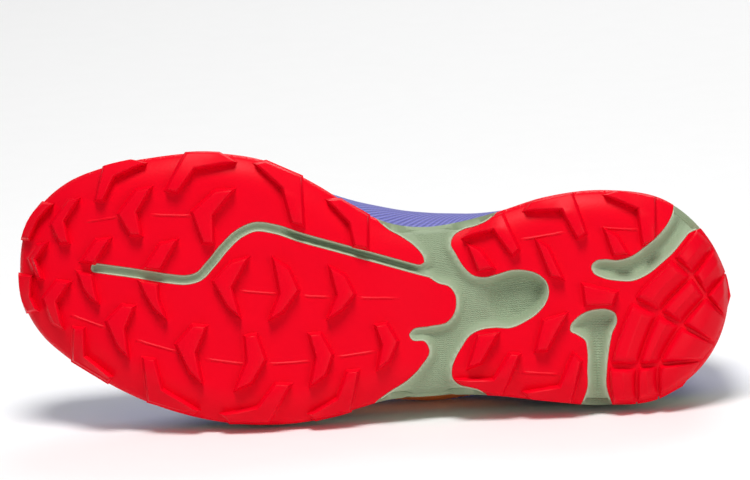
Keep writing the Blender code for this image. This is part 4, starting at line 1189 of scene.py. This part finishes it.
def overlayMesh(name, stations, edges, columns=14):
    # a strip between two edges of the upper's face, with rounded borders
    rows = []
    for way, side in stations:
        low, high = edges(way, side)
        rises = low + (high - low) * np.linspace(0, 1, columns)
        base = upperPoints([way], side, rises[None])[0]
        normal = upperNormals([way], side, rises[None])[0]
        lift = np.full(columns, filmTop)
        lift[[0, -1]] = upper["overlayGap"] + upper["overlay"] * 0.35
        rows.append(np.vstack([base + normal * lift[:, None], (base + normal * 0.0001)[::-1]]))
    return gridMesh(name, np.array(rows), wrapColumns=True, caps=True)


# Stations along an overlay, and the rises of its lower and upper edges
def stretch(first, last, side, count):
    return [(way, side) for way in np.linspace(first, last, count)]


def aroundToe(first, count=70):
    return stretch(first, 1, 1, count) + stretch(0.999, first, -1, count)


def aroundHeel(last, count=60):
    return stretch(last, 0, 1, count) + stretch(0.001, last, -1, count)


def toeCapEdges(way, side):
    return 0.02, 0.08 + 0.22 * math.sin(min(1, max(0, (way - 0.68) / 0.32)) * math.pi / 2) ** 2


def counterEdges(way, side):
    return 0.03, 0.12 + 0.50 * (1 - (way / 0.30) ** 2)


def eyestayEdges(way, side):
    return 0.74, 0.985


def quarterEdges(way, side):
    return 0.03, 0.34 - 0.22 * min(1, abs(way - 0.44) / 0.13) ** 2


def stitchMesh(points, ups):
    # short thread segments along a line
    run, rings, n = runAlong(points), stitch["rings"], stitch["sides"]
    verts, faces = [], []
    for start in np.arange(stitch["first"], run[-1] - stitch["length"], stitch["length"] + stitch["gap"]):
        first, last = atRun((start, start + stitch["length"]), run, points)
        up = atRun([start], run, ups)[0]
        side = np.cross(unit(last - first), up)
        faces += ringFaces(len(rings), n, len(verts))
        faces.append(tuple(range(len(verts) + n - 1, len(verts) - 1, -1)))
        for share, swell in rings:
            centre, radius = first + (last - first) * share, stitch["radius"] * swell
            verts += [tuple(centre + (side * math.cos(a) + up * math.sin(a)) * radius) for a in fullTurn(n)]
        faces.append(tuple(range(len(verts) - n, len(verts))))
    mesh = bpy.data.meshes.new("stitches")
    mesh.from_pydata(verts, [], faces)
    return mesh


def lineOnUpper(stations, edges):
    # a seam's points just over the film, beside its upper edge, and the normals there
    rises = [edges(way, side)[1] - stitch["inFromEdge"] for way, side in stations]
    spots = [faceSpot(*station, rise, onFilm) for station, rise in zip(stations, rises)]
    return [np.array(part) for part in zip(*spots)]


def makeOverlays():
    bumper, trim = ("bumperFilm", "bumper"), ("indigoFilm", "indigo_trim")
    medial, lateral = (stretch(0.39, 0.82, side, 60) for side in (1, -1))
    quarter = stretch(0.315, 0.565, -1, 50)
    overlays = (
        ("toeCap", aroundToe(0.69), toeCapEdges, *bumper, "toe_cap"),
        ("heelCounter", aroundHeel(0.29), counterEdges, *bumper, "heel_counter"),
        ("eyestayMedial", medial, eyestayEdges, *trim, "eyestay_medial"),
        ("eyestayLateral", lateral, eyestayEdges, *trim, "eyestay_lateral"),
        ("quarterPanel", quarter, quarterEdges, "orangeFilm", "orange_trim", "quarter_lateral"),
    )
    seams = []
    for name, stations, edges, finish, slotName, node in overlays:
        mesh = overlayMesh(name, stations, edges)
        pieceFrom(name, mesh, [finish], 40, [node])
        seams.append(stitchMesh(*lineOnUpper(stations[2:-2], edges)))
    pieceFrom("overlayStitches", mergedMesh("overlayStitches", seams), ["thread"])
    print("overlays made")


makeOverlays()

# Tongue and insole
tongue = {
    "thickness": 0.0038, "top": 0.040, "smoothing": 14,
    "stations": (0.93, 0.87, 0.80, 0.73, 0.66, 0.60, 0.54, 0.48, 0.43),
    "rises": (0.76, 0.84, 0.92, 0.99),
    "lift": 0.0012,
    "up": (0.196, 0, 0.981),
    "freeEnd": ((0.3, 0.84), (0.75, 0.78), (0.93, 0.66), (1.0, 0.46)),  # shares of its length and width
    "rows": 90, "columns": 40, "quilts": 7, "quiltDepth": 0.10,
}
insole = {"thickness": 0.0035, "across": 40, "rimWidth": 0.14, "rimRise": 0.0015}  # rimWidth is a share


def tongueSheet():
    # the tongue's middle surface: under the upper's throat edges, then free towards the collar
    rises = np.array([tongue["rises"]])
    rings = []
    for way in tongue["stations"]:
        under = upper["wall"] + fitGap * (3 + 4 * max(0, (0.54 - way) / 0.11))
        edges = {}
        for side in (1, -1):
            spot = upperPoints([way], side, rises)[0]
            edges[side] = spot - upperNormals([way], side, rises)[0] * under
        lift = tongue["lift"] - 0.0030 * max(0, (way - 0.80) / 0.13)
        crown = (edges[1][-1] + edges[-1][-1]) / 2 + np.array(tongue["up"]) * lift
        rings.append(np.vstack([edges[-1], [crown], edges[1][::-1]]))
    slope = unit(rings[-1].sum(axis=0) - rings[-2].sum(axis=0))
    first, crown, last = rings[-1][[0, len(rings[-1]) // 2, -1]]
    t = np.linspace(-1, 1, len(rings[-1]))[:, None]
    arch = first * (t * t - t) / 2 + crown * (1 - t * t) + last * (t * t + t) / 2
    middle = arch.mean(axis=0)
    for share, narrow in tongue["freeEnd"]:
        rings.append(middle + (arch - middle) * (1, narrow, 1) + slope * tongue["top"] * share)
    rows = np.array([smoothLine(ring, tongue["columns"]) for ring in rings])
    for _ in range(tongue["smoothing"]):
        rows[:, 1:-1] = (rows[:, :-2] + 2 * rows[:, 1:-1] + rows[:, 2:]) / 4
    return np.stack([smoothLine(rows[:, k], tongue["rows"]) for k in range(tongue["columns"])], axis=1)


def makeTongue():
    sheet = tongueSheet()
    along, across = np.gradient(sheet, axis=0), np.gradient(sheet, axis=1)
    normal = unit(np.cross(across, along))
    if normal[:, :, 2].mean() < 0:
        normal = -normal
    u = np.abs(np.linspace(-1, 1, tongue["columns"]))[None, :, None]
    v = np.linspace(0, 1, tongue["rows"])[:, None, None]
    puff = np.sqrt(np.clip(1 - u**10, 0.02, 1)) * np.sqrt(np.clip((1 - v) / 0.03, 0.02, 1))
    half = tongue["thickness"] / 2 * puff
    quilt = 1 + tongue["quiltDepth"] * np.cos(v * 2 * math.pi * tongue["quilts"])
    middle = sheet - normal * tongue["thickness"] / 2
    rings = np.concatenate([middle + normal * half * 0.98, (middle - normal * half * quilt)[:, ::-1]], axis=1)
    mesh = gridMesh("tonguePad", rings, wrapColumns=True, caps=True)
    obj = pieceFrom("tonguePad", mesh, ["tongueCloth"], 60, ["tongue"])
    print("tongue made")


def makeInsole():
    inset = cupInset + 4 * fitGap + upper["wall"]
    flat = acrossSole(waysOf(160), inset, insole["across"])
    shares = np.linspace(0, 1, insole["across"])
    base = floorHeight(flat[:, :, 0]) + 1.5 * fitGap
    raised = np.clip(1 - np.minimum(shares, 1 - shares) / insole["rimWidth"], 0, 1) ** 2 * insole["rimRise"]
    top = np.dstack([flat, base + insole["thickness"] + raised])
    rings = np.concatenate([np.dstack([flat, base]), top[:, ::-1]], axis=1)
    mesh = gridMesh("insolePad", rings, wrapColumns=True)
    obj = pieceFrom("insolePad", mesh, ["insoleCloth"], 50, ["insole"])
    print("insole made")


makeTongue()
makeInsole()

# Laces through the eyelets
lace = {
    "width": 0.0046, "thickness": 0.0012, "crown": 0.0030, "pairs": 6, "lastWay": 0.72, "rise": 0.885,
    "hole": 0.0021, "ringWire": 0.0007, "ringHeight": 0.0004, "steps": 60, "drift": 0.12,
    "route": (  # from inside an eyelet: share of the drift, rise past the eyelet, height over the film
        (0, -0.008, -0.0045), (0, -0.004, -0.0013), (0, 0.020, 0.0008), (0.6, 0.060, 0.0006),
        (1, 0.105, 0.0004),
    ),
}


def laceBar(way, nextWay, side, over):
    # from inside one eyelet, over the throat and down into the next one on the other side
    top = filmTop + lace["thickness"] / 2
    drift = (nextWay - way) * lace["drift"]
    near, far = (
        [faceSpot(way + shift * k, edge, lace["rise"] + rise, top + lift) for k, rise, lift in lace["route"]]
        for way, edge, shift in ((way, side, drift), (nextWay, -side, -drift))
    )
    middle = []
    for share in (0.2, 0.35, 0.5, 0.65, 0.8):
        place, up = (a * (1 - share) + b * share for a, b in zip(near[-1], far[-1]))
        arch = lace["crown"] * 4 * share * (1 - share) + over * math.exp(-(((share - 0.5) / 0.12) ** 2))
        middle.append((place + unit(up) * arch, unit(up)))
    places, ups = (np.array(part) for part in zip(*near, *middle, *far[::-1]))
    k = np.linspace(0, 1, lace["steps"])
    line = smoothLine(places, lace["steps"])
    ups = atRun(k, np.linspace(0, 1, len(ups)), ups)
    along = np.gradient(line, axis=0)
    across = unit(np.cross(along, ups))
    ups = unit(np.cross(across, along))
    pinch = 0.55 + 0.45 * np.clip(np.minimum(k, 1 - k) / 0.14, 0, 1)
    rings = []
    for a in fullTurn(16):
        wide, high = math.cos(a), math.sin(a)
        wide, high = math.copysign(abs(wide) ** 0.6, wide), math.copysign(abs(high) ** 0.7, high)
        out = across * (lace["width"] / 2 * wide * pinch)[:, None]
        rings.append(line + out + ups * lace["thickness"] / 2 * high)
    return gridMesh("laceBar", np.stack(rings, axis=1), wrapColumns=True, caps=True)


def eyeletRing(way, side):
    centre, normal = faceSpot(way, side, lace["rise"], onFilm)
    guide = unit(np.cross(normal, (1.0, 0, 0)))
    other, wire = np.cross(normal, guide), lace["ringWire"]
    turns = fullTurn(10)[:, None]
    reach, lift = lace["hole"] + wire * (1 + np.cos(turns)), lace["ringHeight"] * np.sin(turns)
    rings = []
    for a in fullTurn(24):
        out = guide * math.cos(a) + other * math.sin(a)
        rings.append(centre + out * reach + normal * lift)
    return gridMesh("eyelet", np.array(rings), wrapRows=True, wrapColumns=True)


def makeLaces():
    ways = np.linspace(throatWay + 0.02, lace["lastWay"], lace["pairs"])
    bars = []
    for k, (way, nextWay) in enumerate(zip(ways, ways[1:])):
        for side in (1, -1):
            over = lace["thickness"] * 1.2 if side * (-1) ** k > 0 else 0.0  # the upper one of a crossing
            bars.append(laceBar(way, nextWay, side, over))
    pieceFrom("laceBars", mergedMesh("laceBars", bars), ["laceCord"], 60, ["laces"])
    rings = [eyeletRing(way, side) for way in ways for side in (1, -1)]
    pieceFrom("eyeletRings", mergedMesh("eyeletRings", rings), ["eyeletRing"])
    print("laces made")


makeLaces()

# Stage: a pale floor, soft lights and a camera square to the sole
stage = {
    "floorColor": (0.93, 0.93, 0.93),
    "floorSize": 3.0,
    "roomLight": 0.24,
    "lights": (
        ("keyLight", (-0.1, -0.7, 1.8), 0.75, 31),
        ("fillLight", (1.3, -1.7, 0.35), 0.8, 8),
        ("backLight", (0.3, 1.5, 1.3), 1.2, 12),
    ),
    "aim": (0, 0, 0.05),  # where the lights point
    "lens": 400,
    "sensor": 36,
    "aimDepth": 0.008,  # height over the sole's lowest plane at which the camera's scale is true
    "photoWidth": 750,
    "photoHeight": 480,
    "pixelsPerMetre": sole["gridLong"] / sole["length"],
    "photoToe": 15,  # the photo's column at the toe's tip
}


def makeFloor():
    bm = bmesh.new()
    bmesh.ops.create_grid(bm, x_segments=8, y_segments=8, size=stage["floorSize"])
    floor = placed("floor", meshOf("floor", bm))
    look = {"color": stage["floorColor"], "roughness": 0.9, "drift": 0.01}
    floor.data.materials.append(plainMaterial("floorPaint", look))


def addLight(name, place, size, power):
    light = bpy.data.lights.new(name, "AREA")
    light.shape, light.size, light.energy = "DISK", size, power
    obj = placed(name, light)
    obj.location = place
    obj.rotation_euler = (Vector(stage["aim"]) - Vector(place)).to_track_quat("-Z", "Y").to_euler()


def makeLights():
    for settings in stage["lights"]:
        addLight(*settings)
    world = bpy.data.worlds.new("softRoom")
    world.use_nodes = True
    tree = world.node_tree
    seen = addNode(tree, "LightPath").outputs["Is Camera Ray"]  # the camera sees a white room
    strength = addNode(tree, "MapRange", {"Value": seen, "To Min": stage["roomLight"], "To Max": 1.0})
    background = tree.nodes["Background"]
    background.inputs["Color"].default_value = (1, 1, 1, 1)
    tree.links.new(strength.outputs["Result"], background.inputs["Strength"])
    bpy.context.scene.world = world
    bpy.context.scene.view_settings.view_transform = "Standard"


def makeCamera():
    # square to the sole, with the photo's scale and place of the toe
    camera = bpy.data.cameras.new("photoCamera")
    camera.lens, camera.sensor_width = stage["lens"], stage["sensor"]
    obj = placed("photoCamera", camera)
    right, up, away = (rest.to_3x3() @ Vector(axis) for axis in ((-1, 0, 0), (0, 1, 0), (0, 0, -1)))
    scale = stage["pixelsPerMetre"]
    midX = (stage["photoWidth"] / 2 - stage["photoToe"]) / scale
    midY = (photoMiddle - stage["photoHeight"] / 2) / scale
    centre = rest @ Vector((sole["length"] - midX, midY, stage["aimDepth"]))
    distance = stage["photoWidth"] / scale * stage["lens"] / stage["sensor"]
    look = Matrix((right, up, away)).transposed().to_4x4()
    obj.matrix_world = Matrix.Translation(centre + away * distance) @ look
    bpy.context.scene.camera = obj


makeFloor()
makeLights()
makeCamera()
print("stage made")
